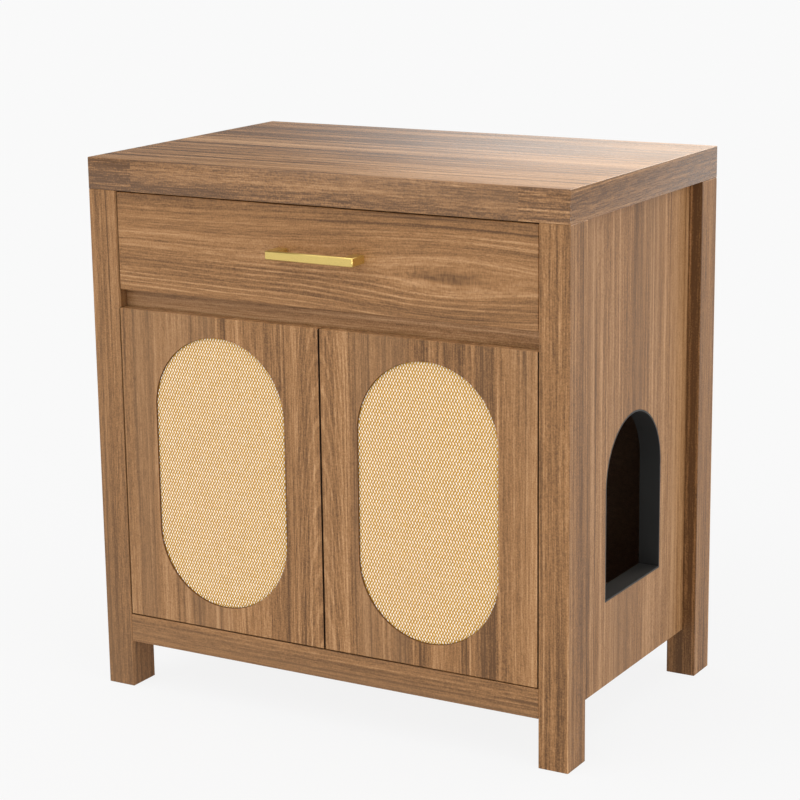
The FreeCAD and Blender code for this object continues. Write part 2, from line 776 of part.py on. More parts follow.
def hinge_arm(tools, side, level):
    """A bent strip from its base on the leg round into the cup, rolled to an eye on the pin."""
    size = tools.size
    edges = neck_path(tools, side)
    start = edges[0].Vertexes[0].Point
    thick, high = size("arm_thick"), size("arm_high")
    low = size(level) - high / 2
    corners = [start + Vector(0, y, low + z) for y, z in
               ((-thick / 2, 0), (thick / 2, 0), (thick / 2, high), (-thick / 2, high))]
    section = Part.Wire(Part.makePolygon(corners + corners[:1]))
    path = Part.Wire([edge.translated(Vector(0, 0, size(level))) for edge in edges])
    strip = path.makePipeShell([section], True, False)
    centre = Vector(SIDES[side] * (size("leg_inner") - size("pin_x")),
                    tools.front + size("pin_back"), low)
    up = Vector(0, 0, 1)
    eye = Part.makeCylinder(size("eye_radius"), high, centre, up)
    arm = strip.fuse([eye, arm_base(tools, side, level)]).removeSplitter()
    arm = arm.cut(tools.rod(size("pin_radius + pin_slack"), high, centre, up, PIN_FLAT_COUNT, True))
    gap = size("seat_gap")
    outward = Vector(SIDES[side], 0, 0)
    for deep, height in hinge_screw_places():
        seat = tools.point(f"{SIDES[side]} * leg_inner", deep, height) + outward * gap
        arm = arm.cut(tools.screw_hole(seat, outward * -1, thick + 2 * gap))
    return arm


def arm_base(tools, side, level):
    """The wide foot of the arm, flat against the leg."""
    size = tools.size
    sign = SIDES[side]
    thick, high, length = size("arm_thick"), size("arm_base_high"), size("arm_base_long")
    x = sign * size("leg_inner") - (thick if side == "right" else 0)
    y = tools.front + size("neck_line + root_bend")
    foot = Part.makeBox(thick, length, high, Vector(x, y, size(level) - high / 2))
    upright = [edge for edge in foot.Edges
               if edge.BoundBox.XLength > thick / 2 and edge.CenterOfMass.y > y + length / 2
               and edge.BoundBox.ZLength < thick / 2]
    return foot.makeChamfer(size("arm_base_corner"), upright)


def make_hinges(document, tools):
    """Arms on the legs; cups and pins in the doors."""
    makers = {"arms": hinge_arm, "cups": hinge_cup, "pins": hinge_pin}
    for side in SIDES:
        for kind, make in makers.items():
            group(document, f"{side}_hinge_{kind}", [make(tools, side, z) for z in HINGE_LEVELS])


def make_catches(document, tools):
    """Magnetic catches under the rail, which stop the doors, and the plates that they hold."""
    size = tools.size
    gap = size("strike_thick + race_gap")
    top = size("mid_rail_low")
    long, deep, high = size("catch_long"), size("catch_deep"), size("catch_high")
    cases = []
    for side, sign in SIDES.items():
        x = sign * size("catch_from_centre")
        corner = Vector(x - long / 2, tools.front + size("board") + gap, top - high)
        cases.append(Part.makeBox(long, deep, high, corner))
        strike = new_body(document, f"{side}_strike_plate")
        sketch = sketch_on(strike, "XZ_Plane")
        rectangle(sketch, "0 - strike_long / 2", "0", "strike_long", "strike_high")
        pad(strike, sketch, "strike_thick")
        place(strike, f"{sign} * catch_from_centre", "board",
              "mid_rail_low - catch_high / 2 - strike_high / 2")
    seats = [tools.point(x, "mid_rail_setback + board / 2", "mid_rail_low - catch_screw_seat")
             for x in catch_screw_columns()]
    up = Vector(0, 0, 1)
    screws = [tools.screw(seat, up, "short_screw_long") for seat in seats]
    for index, seat in enumerate(seats):
        room = tools.rod(size("screw_head_radius + seat_gap"), high, seat, up * -1, around=True)
        shank = tools.screw_hole(seat, up, high)
        cases[index // 2] = cases[index // 2].cut(room).cut(shank)
    group(document, "door_catches", cases)
    group(document, "catch_screws", screws)


# ---------------------------------------------------------------- drawer, pull and slides

def make_drawer(document):
    """The drawer front and the box behind it, with a thin floor in grooves."""
    wide = "2 * (leg_inner - drawer_side_gap)"
    size = (wide, "board", "drawer_front_high")
    body = board(document, "drawer_front", (f"0 - ({wide}) / 2", "drawer_setback", "drawer_low"), size)
    floor = "side_low + groove_up"
    slot = "drawer_floor + 2 * groove_slack"
    groove = sketch_on(body, "XZ_Plane", "board")
    inside = "2 * (box_half - drawer_board + groove_deep)"
    rectangle(groove, f"({wide}) / 2 - ({inside}) / 2", f"{floor} - drawer_low", inside, slot)
    pocket(body, groove, "groove_deep", False)
    holes = [(f"({wide}) / 2 + pull_shift {sign} pull_span / 2", "pull_centre",
              "machine_screw_radius + screw_slack") for sign in "+-"]
    drill(body, "XZ_Plane", "0", holes, "board", True)
    make_drawer_sides(document, slot)
    inner = "2 * (box_half - drawer_board)"
    corner = ("0 - box_half + drawer_board", "box_front + drawer_long - drawer_board",
              f"{floor} + {slot}")
    body = board(document, "drawer_back", corner,
                 (inner, "drawer_board", f"drawer_side_high - groove_up - ({slot})"), "fine_break")
    for face, forward in (("0", True), (inner, False)):
        holes = [("drawer_board / 2", f"{z} - groove_up - ({slot})", "screw_radius + screw_slack")
                 for z in BOX_SCREW_LEVELS]
        drill(body, "YZ_Plane", face, holes, "wood_screw_long", forward)
    corner = (f"0 - ({inside}) / 2 + seat_gap", "box_front - groove_deep + seat_gap",
              f"{floor} + groove_slack")
    size = (f"{inside} - 2 * seat_gap", "drawer_long + groove_deep - seat_gap", "drawer_floor")
    board(document, "drawer_bottom", corner, size, None)


def make_drawer_sides(document, slot):
    """Two grooved sides, drilled for the slides and the back."""
    for side in SIDES:
        corner = (low_x(side, "box_half - drawer_board", "drawer_board"), "box_front", "side_low")
        size = ("drawer_board", "drawer_long", "drawer_side_high")
        body = board(document, f"drawer_{side}_side", corner, size, "fine_break")
        groove = sketch_on(body, "XZ_Plane")
        left = "drawer_board - groove_deep" if side == "left" else "0"
        rectangle(groove, left, "groove_up", "groove_deep", slot)
        pocket(body, groove, "drawer_long")
        face, forward = ("0", True) if side == "left" else ("drawer_board", False)
        holes = [(f"slide_start + {y} - box_front", "slide_level - side_low",
                  "screw_radius + screw_slack") for y in rail_screw_rows()]
        drill(body, "YZ_Plane", face, holes, "short_screw_long - slide_sheet", forward)
        holes = [("drawer_long - drawer_board / 2", z, "screw_radius + screw_slack")
                 for z in BOX_SCREW_LEVELS]
        drill(body, "YZ_Plane", face, holes, "drawer_board", forward)


def rail_screw_rows():
    """Places of the screws along the drawer's slide rail, from its front end."""
    return ["rail_screw_inset", "slide_long / 2", "slide_long - rail_screw_inset"]


def make_pull(document):
    """A square bar on two feet, cast in one piece, with every edge softened."""
    body = new_body(document, "drawer_pull")
    sketch = sketch_on(body, "XY_Plane")
    half, inner = "pull_long / 2", "(pull_long / 2 - pull_foot)"
    reach, back = "0 - pull_stand", "(pull_bar - pull_stand)"
    outline(sketch, [
        (f"0 - {half}", "0"), (f"0 - {half}", reach), (half, reach), (half, "0"),
        (inner, "0"), (inner, back), (f"0 - {inner}", back), (f"0 - {inner}", "0"),
    ])
    pad(body, sketch, "pull_high")
    break_edges(body, "pull_round")
    holes = [(f"{sign} pull_span / 2", "pull_high / 2", "machine_screw_radius + screw_slack")
             for sign in ("0 +", "0 -")]
    drill(body, "XZ_Plane", "0", holes, "pull_screw_bite + seat_gap", False)
    place(body, "pull_shift", "drawer_setback", "pull_level - pull_high / 2")


def slide_profiles():
    """Half sections of the three members: reach from the cabinet side, and height off centre."""
    outer = "slide_high / 2"
    throat = f"{outer} - slide_sheet"
    middle = f"({throat} - race_gap)"
    hollow = f"({middle} - middle_sheet)"
    bead = f"({hollow} - race_gap)"
    stem = f"({middle} - middle_lip - race_gap)"
    lip = "(outer_reach - slide_sheet)"
    middle_end = f"({lip} - race_gap)"
    catch = f"({middle_end} - middle_sheet)"
    bead_end = f"({catch} - race_gap)"
    bead_start = "(middle_back + middle_sheet + race_gap)"
    return {
        "slide_channel": [
            ("0", outer), ("outer_reach", outer), ("outer_reach", f"{outer} - outer_lip"),
            (lip, f"{outer} - outer_lip"), (lip, throat), ("slide_sheet", throat)],
        "slide_middle": [
            ("middle_back", middle), (middle_end, middle), (middle_end, f"{middle} - middle_lip"),
            (catch, f"{middle} - middle_lip"), (catch, hollow),
            ("middle_back + middle_sheet", hollow)],
        "slide_rail": [
            ("slide_room", stem), (bead_end, stem), (bead_end, bead), (bead_start, bead),
            (bead_start, f"{stem} - inner_sheet"),
            ("slide_room - slide_sheet", f"{stem} - inner_sheet")],
    }


def make_slides(document):
    """Telescopic slides: a channel on the cabinet, a rail on the drawer, a member between."""
    for side, sign in SIDES.items():
        for kind, half in slide_profiles().items():
            body = new_body(document, f"{side}_{kind}")
            sketch = sketch_on(body, "XZ_Plane")
            flip = "0 - " if side == "right" else ""
            upper = [(f"{flip}({x})", z) for x, z in half]
            lower = [(x, f"0 - ({z})") for x, z in reversed(upper)]
            outline(sketch, upper + lower)
            pad(body, sketch, "slide_long")
            drill_slide(body, kind, side)
            place(body, f"{sign} * leg_inner", "slide_start", "slide_level")


def drill_slide(body, kind, side):
    """Screw holes through a member's web."""
    radius = "screw_radius + screw_slack"
    if kind == "slide_channel":
        holes = [(y, "0", radius) for y in
                 ("slide_screw_first", "slide_screw_second", "slide_screw_third")]
        drill(body, "YZ_Plane", "0", holes, "slide_sheet", side == "left")
    if kind == "slide_rail":
        holes = [(y, "0", radius) for y in rail_screw_rows()]
        face = "slide_room" if side == "left" else "0 - slide_room"
        drill(body, "YZ_Plane", face, holes, "slide_sheet", side == "right")


# ---------------------------------------------------------------- fasteners

def make_screws(document, tools):
    """The screws, each kind in one group for each body that carries it."""
    groups = {name: [] for name in ("hinge_screws", "slide_screws", "drawer_rail_screws",
                                    "drawer_box_screws", "left_cup_screws", "right_cup_screws")}
    for side, sign in SIDES.items():
        outward = Vector(sign, 0, 0)
        for y, z in hinge_screw_places():
            seat = tools.point(f"{sign} * (leg_inner - arm_thick)", y, z)
            groups["hinge_screws"].append(tools.screw(seat, outward, "wood_screw_long"))
        for y in ("slide_screw_first", "slide_screw_second", "slide_screw_third"):
            seat = tools.point(f"{sign} * (leg_inner - slide_sheet)", f"slide_start + {y}",
                               "slide_level")
            groups["slide_screws"].append(tools.screw(seat, outward, "short_screw_long"))
        for y in rail_screw_rows():
            seat = tools.point(f"{sign} * (box_half + slide_sheet)", f"slide_start + {y}",
                               "slide_level")
            groups["drawer_rail_screws"].append(
                tools.screw(seat, outward * -1, "short_screw_long - screw_slack"))
        for z in BOX_SCREW_LEVELS:
            seat = tools.point(f"{sign} * box_half", "box_front + drawer_long - drawer_board / 2",
                               f"side_low + {z}")
            groups["drawer_box_screws"].append(
                tools.screw(seat, outward * -1, "drawer_board + wood_screw_long - seat_gap"))
        for level in HINGE_LEVELS:
            for end in "+-":
                seat = tools.point(f"{sign} * (leg_inner - cup_x)", "board + cup_flange_thick",
                                   f"{level} {end} cup_screw_span / 2")
                groups[f"{side}_cup_screws"].append(
                    tools.screw(seat, Vector(0, -1, 0), "short_screw_long - screw_slack"))
    for name, screws in groups.items():
        group(document, name, screws)


def make_more_screws(document, tools):
    """Screws of the liner, the back panel and the drawer pull."""
    seats = [tools.point("panel_inner - flange_thick", y, z) for y, z in liner_screw_places()]
    screws = [tools.screw(seat, Vector(1, 0, 0), "short_screw_long - screw_slack")
              for seat in seats]
    group(document, "liner_screws", screws)
    levels = ("rail_low + rail_high / 2", "leg_high - rail_high / 2")
    seats = [tools.point(x, "back_front", z) for x in back_screw_columns() for z in levels]
    screws = [tools.screw(seat, Vector(0, 1, 0), "short_screw_long - screw_slack")
              for seat in seats]
    group(document, "back_panel_screws", screws)
    seats = [tools.point(f"pull_shift {sign} pull_span / 2", "box_front", "pull_level")
             for sign in "+-"]
    screws = [tools.screw(seat, Vector(0, -1, 0), "board + pull_screw_bite",
                          "machine_screw_radius", "machine_head_radius", "machine_head_high")
              for seat in seats]
    group(document, "pull_screws", screws)


def cam_places(tools):
    """Where each cam sits, with the sign of its side and the way to the leg that it pulls on."""
    for sign in SIDES.values():
        for y, toward in (("leg_deep + cam_from_edge", -1), ("depth - leg_deep - cam_from_edge", 1)):
            for z in cam_levels()[0]:
                yield tools.point(f"{sign} * panel_inner", y, z), sign, toward


def make_cams(document, tools):
    """Cam locks in the side panels, with the bolts that they draw and the dowels beside them."""
    size = tools.size
    radius, deep, slack = size("cam_radius"), size("cam_deep"), size("bore_slack")
    slot, cut, long = size("cam_slot_wide"), size("cam_slot_deep"), size("cam_slot_long")
    middle, edge = size("board") / 2, size("cam_from_edge")
    locks, bolts = [], []
    for seat, sign, toward in cam_places(tools):
        lock = tools.rod(radius, deep - slack, seat, Vector(sign, 0, 0), PIN_FLAT_COUNT)
        corner = seat - Vector(cut, slot / 2, long / 2)
        lock = lock.cut(Part.makeBox(2 * cut, slot, long, corner))
        heart = seat + Vector(sign * middle, 0, 0)
        along = Vector(0, toward, 0)
        bolt_radius = size("cam_bolt_radius")
        bolts.append(tools.rod(bolt_radius, edge + size("cam_bolt_bite") - slack, heart, along))
        bore = tools.rod(bolt_radius + size("screw_slack"), 2 * radius, heart - along * slack, along,
                         around=True)
        locks.append(lock.cut(bore))
    group(document, "cam_locks", locks)
    group(document, "cam_bolts", bolts)
    half = size("dowel_long") / 2 - slack
    pegs = []
    for sign in SIDES.values():
        for y in ("leg_deep", "depth - leg_deep"):
            for z in cam_levels()[1]:
                foot = tools.point(f"{sign} * (panel_inner + board / 2)", y, z) - Vector(0, half, 0)
                pegs.append(tools.rod(size("dowel_radius"), 2 * half, foot, Vector(0, 1, 0)))
    group(document, "dowels", pegs)


# ---------------------------------------------------------------- build, check and write

def build(document):
    """Make every piece."""
    make_sheet(document)
    tools = Hardware(document)
    make_top(document)
    make_legs(document)
    make_side_panels(document)
    make_entry_liner(document)
    make_rails(document)
    make_shelves(document)
    make_back(document)
    make_spacers(document)
    make_doors(document)
    make_inlays(document)
    make_drawer(document)
    make_pull(document)
    make_slides(document)
    make_hinges(document, tools)
    make_catches(document, tools)
    make_screws(document, tools)
    make_more_screws(document, tools)
    make_cams(document, tools)
    document.recompute()


def check(document):
    """Stop on any failed object, empty or broken shape, or cut that removed nothing."""
    for item in document.Objects:
        if "Invalid" in item.State or "Error" in item.State:
            raise ValueError(f"{item.Label}: {item.State}")
        if item.TypeId == "PartDesign::Pocket":
            taken = item.BaseFeature.Shape.Volume - item.Shape.Volume
            if taken < LEAST_CUT:
                raise ValueError(f"{item.Label} cuts nothing")
    pieces = [item for item in document.Objects
              if item.TypeId in ("PartDesign::Body", "Part::Feature")]
    for piece in pieces:
        if piece.Shape.isNull() or not piece.Shape.isValid() or not piece.Shape.Solids:
            raise ValueError(f"{piece.Label}: no sound shape")
    return pieces


def main():
    document = FreeCAD.newDocument("litter_box_cabinet")
    build(document)
    pieces = check(document)
    os.makedirs("parts", exist_ok=True)
    for piece in pieces:
        piece.Shape.exportStep(f"parts/{piece.Label}.step")
    print(len(pieces), "pieces written")


main()
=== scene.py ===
"""Dresses the cat litter box cabinet: wood-grain foil, woven inlays, a brass pull, a dark entry.

Lengths are in metres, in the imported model's frame: X to the right of someone who faces the
doors, Y to the back, Z up from the floor.
"""
import logging
import math
from collections.abc import Callable, Mapping
from dataclasses import dataclass, field
from enum import Enum

import bmesh
import bpy
from mathutils import Matrix, Quaternion, Vector


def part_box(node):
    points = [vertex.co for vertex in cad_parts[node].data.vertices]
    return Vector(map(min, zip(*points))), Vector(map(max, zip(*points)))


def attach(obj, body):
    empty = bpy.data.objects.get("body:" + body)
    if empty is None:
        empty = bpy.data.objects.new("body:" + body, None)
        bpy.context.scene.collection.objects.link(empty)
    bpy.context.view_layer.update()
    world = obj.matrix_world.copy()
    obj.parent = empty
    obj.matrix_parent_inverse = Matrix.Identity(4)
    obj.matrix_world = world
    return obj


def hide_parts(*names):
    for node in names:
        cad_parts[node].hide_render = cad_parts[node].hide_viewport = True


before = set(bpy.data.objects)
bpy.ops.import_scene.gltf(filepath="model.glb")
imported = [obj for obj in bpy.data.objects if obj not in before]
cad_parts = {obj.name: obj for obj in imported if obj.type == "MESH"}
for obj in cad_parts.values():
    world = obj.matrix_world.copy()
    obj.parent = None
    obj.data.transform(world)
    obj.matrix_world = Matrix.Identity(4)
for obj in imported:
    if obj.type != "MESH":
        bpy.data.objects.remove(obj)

log = logging.getLogger("litter_box_cabinet")

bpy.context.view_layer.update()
MM = 0.001
NEAR = 0.01 * MM
SMOOTH_BELOW = math.radians(40)

# How far a surface looks along an axis, from 0 to 1, to count as facing it: the flat face alone,
# the face with its edges at 45 degrees, or whatever leans that way.
FLAT_ON = 0.9
WITH_EDGES = 0.7
LEANING = 0.5

Colour = tuple[float, float, float]


def shade(colour: Colour, factor: float) -> Colour:
    """A colour made darker or lighter."""
    return tuple(factor * part for part in colour)


# ---------------------------------------------------------------- shader helpers

class Signal:
    """A shader socket whose expressions add Math nodes."""

    def __init__(self, paint: "Paint", socket: bpy.types.NodeSocket) -> None:
        """Wrap an output socket of a paint's node tree."""
        self.paint = paint
        self.socket = socket

    def math(self, operation: str, *terms: "Signal | float") -> "Signal":
        """Add a Math node whose inputs are the given terms."""
        return self.paint.node("ShaderNodeMath", {"operation": operation}, dict(enumerate(terms)))

    def __add__(self, other: "Signal | float") -> "Signal":
        """Sum."""
        return self.math("ADD", self, other)

    def __sub__(self, other: "Signal | float") -> "Signal":
        """Difference."""
        return self.math("SUBTRACT", self, other)

    def __mul__(self, other: "Signal | float") -> "Signal":
        """Product."""
        return self.math("MULTIPLY", self, other)

    def __rsub__(self, other: float) -> "Signal":
        """A number less this signal."""
        return self.math("SUBTRACT", other, self)

    def __rtruediv__(self, other: float) -> "Signal":
        """A number divided by this signal."""
        return self.math("DIVIDE", other, self)

    __radd__ = __add__
    __rmul__ = __mul__

    def above(self, edge: "Signal | float") -> "Signal":
        """1 where the signal is over an edge, 0 elsewhere."""
        return self.math("GREATER_THAN", self, edge)

    def size(self) -> "Signal":
        """The value without its sign."""
        return self.math("ABSOLUTE", self)

    def wave(self) -> "Signal":
        """The sine of the signal."""
        return self.math("SINE", self)

    def limit(self) -> "Signal":
        """The signal kept between 0 and 1."""
        return self.paint.node("ShaderNodeClamp", {}, {"Value": self})

    def rise(self, low: float, high: float) -> "Signal":
        """A soft step from 0 at `low` to 1 at `high`."""
        return self.paint.node("ShaderNodeMapRange", {"interpolation_type": "SMOOTHSTEP"},
                               {"Value": self, "From Min": low, "From Max": high})


class Paint:
    """A material, or a world, while its nodes are being made."""

    def __init__(self, owner: bpy.types.Material | bpy.types.World) -> None:
        """Start with an empty node tree.

        Args:
            owner: The material or world that the nodes belong to.
        """
        owner.use_nodes = True
        self.owner = owner
        self.tree = owner.node_tree
        self.tree.nodes.clear()

    @classmethod
    def named(cls, name: str) -> "Paint":
        """A new material by name."""
        return cls(bpy.data.materials.new(name))

    def node(self, kind: str, settings: Mapping[str, object] | None = None,
             sockets: Mapping[str | int, object] | None = None, output: int | str = 0) -> Signal:
        """Add a node.

        Args:
            kind: The node's type.
            settings: Properties, set first; "stops" are a ramp's (position, colour) pairs.
            sockets: Values or signals for the inputs, by name or number.
            output: The output that is wanted.

        Returns:
            The wanted output as a signal.
        """
        made = self.tree.nodes.new(kind)
        for key, value in (settings or {}).items():
            if key == "stops":
                self._set_stops(made.color_ramp, value)
            else:
                setattr(made, key, value)
        for key, value in (sockets or {}).items():
            if isinstance(value, Signal):
                self.tree.links.new(value.socket, made.inputs[key])
            else:
                made.inputs[key].default_value = value
        return Signal(self, made.outputs[output])

    @staticmethod
    def _set_stops(ramp: bpy.types.ColorRamp, stops: list[tuple[float, Colour]]) -> None:
        """Give a ramp its stops.

        Args:
            ramp: The ramp, which starts with two stops.
            stops: Two or more positions, each with its colour.
        """
        while len(ramp.elements) < len(stops):
            ramp.elements.new(1.0)
        for element, (position, colour) in zip(ramp.elements, stops):
            element.position = position
            element.color = (*colour, 1.0)

    def place(self) -> Signal:
        """Object coordinates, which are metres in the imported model's frame."""
        return self.node("ShaderNodeTexCoord", output="Object")

    def facing(self) -> tuple[Signal, Signal, Signal]:
        """How far the surface looks along the piece's own axes.

        Returns:
            The shares of X, Y and Z, each from 0 to 1.
        """
        normal = self.node("ShaderNodeNewGeometry", output="True Normal")
        own = self.node("ShaderNodeVectorTransform",
                        {"vector_type": "NORMAL", "convert_from": "WORLD",
                         "convert_to": "OBJECT"}, {0: normal})
        return tuple(part.size() for part in self.part_of(own))

    def part_of(self, vector: Signal) -> tuple[Signal, Signal, Signal]:
        """The X, Y and Z of a vector."""
        split = self.node("ShaderNodeSeparateXYZ", {}, {0: vector}).socket.node
        return tuple(Signal(self, split.outputs[index]) for index in range(3))

    def vector(self, *parts: Signal | float) -> Signal:
        """A vector from three values."""
        return self.node("ShaderNodeCombineXYZ", {}, dict(enumerate(parts)))

    def scaled(self, vector: Signal, scale: tuple[float, float, float] = (1.0, 1.0, 1.0),
               offset: tuple[float, float, float] | Signal = (0.0, 0.0, 0.0)) -> Signal:
        """A vector times a scale, plus an offset."""
        return self.node("ShaderNodeVectorMath", {"operation": "MULTIPLY_ADD"},
                         {0: vector, 1: scale, 2: offset})

    def noise(self, vector: Signal, detail: float = 2.0, roughness: float = 0.5,
              output: str = "Fac") -> Signal:
        """Noise with features about one unit across."""
        return self.node("ShaderNodeTexNoise", {},
                         {"Vector": vector, "Scale": 1.0, "Detail": detail,
                          "Roughness": roughness}, output)

    def blend(self, share: Signal | float, low: object, high: object, mode: str = "MIX") -> Signal:
        """Mix two colours; `share` is how much of the second shows."""
        return self.node("ShaderNodeMix", {"data_type": "RGBA", "blend_type": mode},
                         {0: share, 6: self.colour(low), 7: self.colour(high)}, 2)

    @staticmethod
    def colour(value: object) -> object:
        """A colour with its alpha, or a signal as it is."""
        return value if isinstance(value, Signal) else (*value, 1.0)

    def ramp(self, level: Signal, stops: list[tuple[float, Colour]]) -> Signal:
        """A colour from a value."""
        return self.node("ShaderNodeValToRGB", {"stops": stops}, {0: level})

    def bump(self, height: Signal, strength: float, distance: float) -> Signal:
        """A normal from a height, whose full range is `distance` metres."""
        return self.node("ShaderNodeBump", {},
                         {"Height": height, "Strength": strength, "Distance": distance})

    def surface(self, **sockets: object) -> bpy.types.Material:
        """Finish the material with a Principled shader.

        Args:
            **sockets: Its inputs by name, with underscores for spaces.

        Returns:
            The finished material.
        """
        named = {key.replace("_", " "): value for key, value in sockets.items()}
        named["Base Color"] = self.colour(named["Base Color"])
        shader = self.node("ShaderNodeBsdfPrincipled", {}, named)
        self.node_output("ShaderNodeOutputMaterial", shader)
        return self.owner

    def node_output(self, kind: str, shader: Signal) -> None:
        """Join a shader to the tree's output."""
        end = self.tree.nodes.new(kind)
        self.tree.links.new(shader.socket, end.inputs["Surface"])


# ---------------------------------------------------------------- finishes

class Grain(Enum):
    """The axis along which a board's grain runs."""

    X = 0
    Y = 1
    Z = 2


class Layer(Enum):
    """Layers of grain: features to the metre across and along it, detail and roughness."""

    BANDS = (13.0, 0.5, 2.0, 0.5)
    STREAKS = (60.0, 0.9, 4.0, 0.6)
    LINES = (190.0, 0.7, 1.0, 0.5)
    THREADS = (330.0, 6.0, 3.0, 0.6)
    FIBRES = (640.0, 34.0, 2.0, 0.6)
    SILK = (430.0, 430.0, 2.0, 0.5)
    GREYING = (10.0, 0.6, 2.0, 0.5)
    PORES = (1200.0, 110.0, 1.0, 0.5)


@dataclass(frozen=True)
class WoodFoil:
    """Satin walnut-like foil: bands and streaks along the grain, pores, and curved figure.

    The faces that look along X, Y and Z are made lighter or darker by painted light and shade, set
    for each direction as the light falls on it.
    """

    grain: Grain = Grain.Z
    seed: float = 0.0
    figure: float = 0.3
    # Painted light and shade on the faces that look along X, Y and Z.
    painted_face_shading: tuple[float, float, float] = (0.0, 0.0, 0.0)
    contrast: float = 1.0
    sway: float = 0.010
    roughness: float = 0.45
    shine: float = 0.28
    dark: Colour = (0.116, 0.053, 0.019)
    middle: Colour = (0.316, 0.154, 0.057)
    light: Colour = (0.548, 0.310, 0.148)
    greyed: Colour = (0.262, 0.143, 0.066)
    stops: tuple[float, float, float] = (0.08, 0.48, 0.95)
    greying: float = 0.45
    pore_depth: float = 0.7
    drift: tuple[float, float] = (7.0, 1.6)
    ring_spread: tuple[float, float] = (4.2, 0.62)
    ring_count: float = 150.0

    def along(self, across: float, along: float) -> tuple[float, float, float]:
        """A scale for noise, in features to the metre across and along the grain."""
        return tuple(along if axis == self.grain.value else across for axis in range(3))

    def start(self) -> tuple[float, float, float]:
        """Where this board is cut from the endless sheet."""
        return (self.seed * 1.7, self.seed * 2.3, self.seed * 3.1)

    def coordinates(self, paint: Paint) -> Signal:
        """Places on the sheet."""
        return self.on_sheet(paint, paint.place())

    def on_sheet(self, paint: Paint, place: Signal) -> Signal:
        """Move places to this board's cut, and let them wander a little off the straight.

        Args:
            paint: The material that is being made.
            place: Places on the board.

        Returns:
            Places on the sheet.
        """
        cut = paint.scaled(place, offset=self.start())
        drift = paint.noise(paint.scaled(cut, self.along(*self.drift)), 1.0, output="Color")
        return paint.scaled(drift, self.along(self.sway, 0.0), cut)

    def painted_face_shade(self, paint: Paint) -> Signal:
        """Painted light and shade: how much lighter or darker the faces of each direction are
        made.
        """
        return sum(share * tone for share, tone in zip(paint.facing(), self.painted_face_shading))

    def strength(self, paint: Paint) -> tuple[Signal | float, Signal | float]:
        """How strongly the broad streaks and the fine grit show."""
        return self.contrast * 1.2, self.contrast * 0.7

    def rings(self, paint: Paint, place: Signal) -> Signal:
        """Curved growth lines, from -1 to 1, where the sheet cuts them at a slant."""
        height = paint.noise(paint.scaled(place, self.along(*self.ring_spread)), 1.0)
        return (height * self.ring_count).wave()

    def material(self, name: str) -> bpy.types.Material:
        """Build the foil.

        Args:
            name: The new material's name.

        Returns:
            The finished material.
        """
        paint = Paint.named(name)
        place = self.coordinates(paint)

        def layer(kind: Layer) -> Signal:
            """Noise drawn out along the grain, about 0."""
            across, along, detail, rough = kind.value
            return paint.noise(paint.scaled(place, self.along(across, along)), detail, rough) - 0.5

        bands = layer(Layer.BANDS)
        streaks = layer(Layer.STREAKS)
        lines = layer(Layer.LINES)
        threads = layer(Layer.THREADS)
        fibres = layer(Layer.FIBRES)
        silk = layer(Layer.SILK)
        rings = self.rings(paint, place)
        broad, grit = self.strength(paint)
        level = ((bands * 0.65 + streaks * 0.65 + lines * lines.size() * 5.0 + threads * 0.6)
                 * broad + (fibres * 1.1 + silk * 0.95) * grit + rings * (0.13 * self.figure)
                 + self.painted_face_shade(paint) + 0.5)
        colour = paint.ramp(level, list(zip(self.stops, (self.dark, self.middle, self.light))))
        grey = layer(Layer.GREYING).rise(-0.02, 0.22)
        colour = paint.blend(grey * self.greying, colour, self.greyed)
        pores = layer(Layer.PORES).rise(0.08, 0.20) * (0.6 - streaks * 2.0).limit()
        colour = self.gap_and_recess_shade(paint, paint.blend(pores * self.pore_depth, colour, self.dark))
        return paint.surface(
            Base_Color=colour,
            Roughness=self.roughness + fibres * 0.12 + pores * 0.1,
            Specular_IOR_Level=self.shine,
            Normal=paint.bump(fibres - pores * 0.6, 0.12, 0.25 * MM),
        )

    def gap_and_recess_shade(self, paint: Paint, colour: Signal) -> Signal:
        """The colour with any painted shade in gaps and recesses over it; plain boards have none.
        """
        return colour


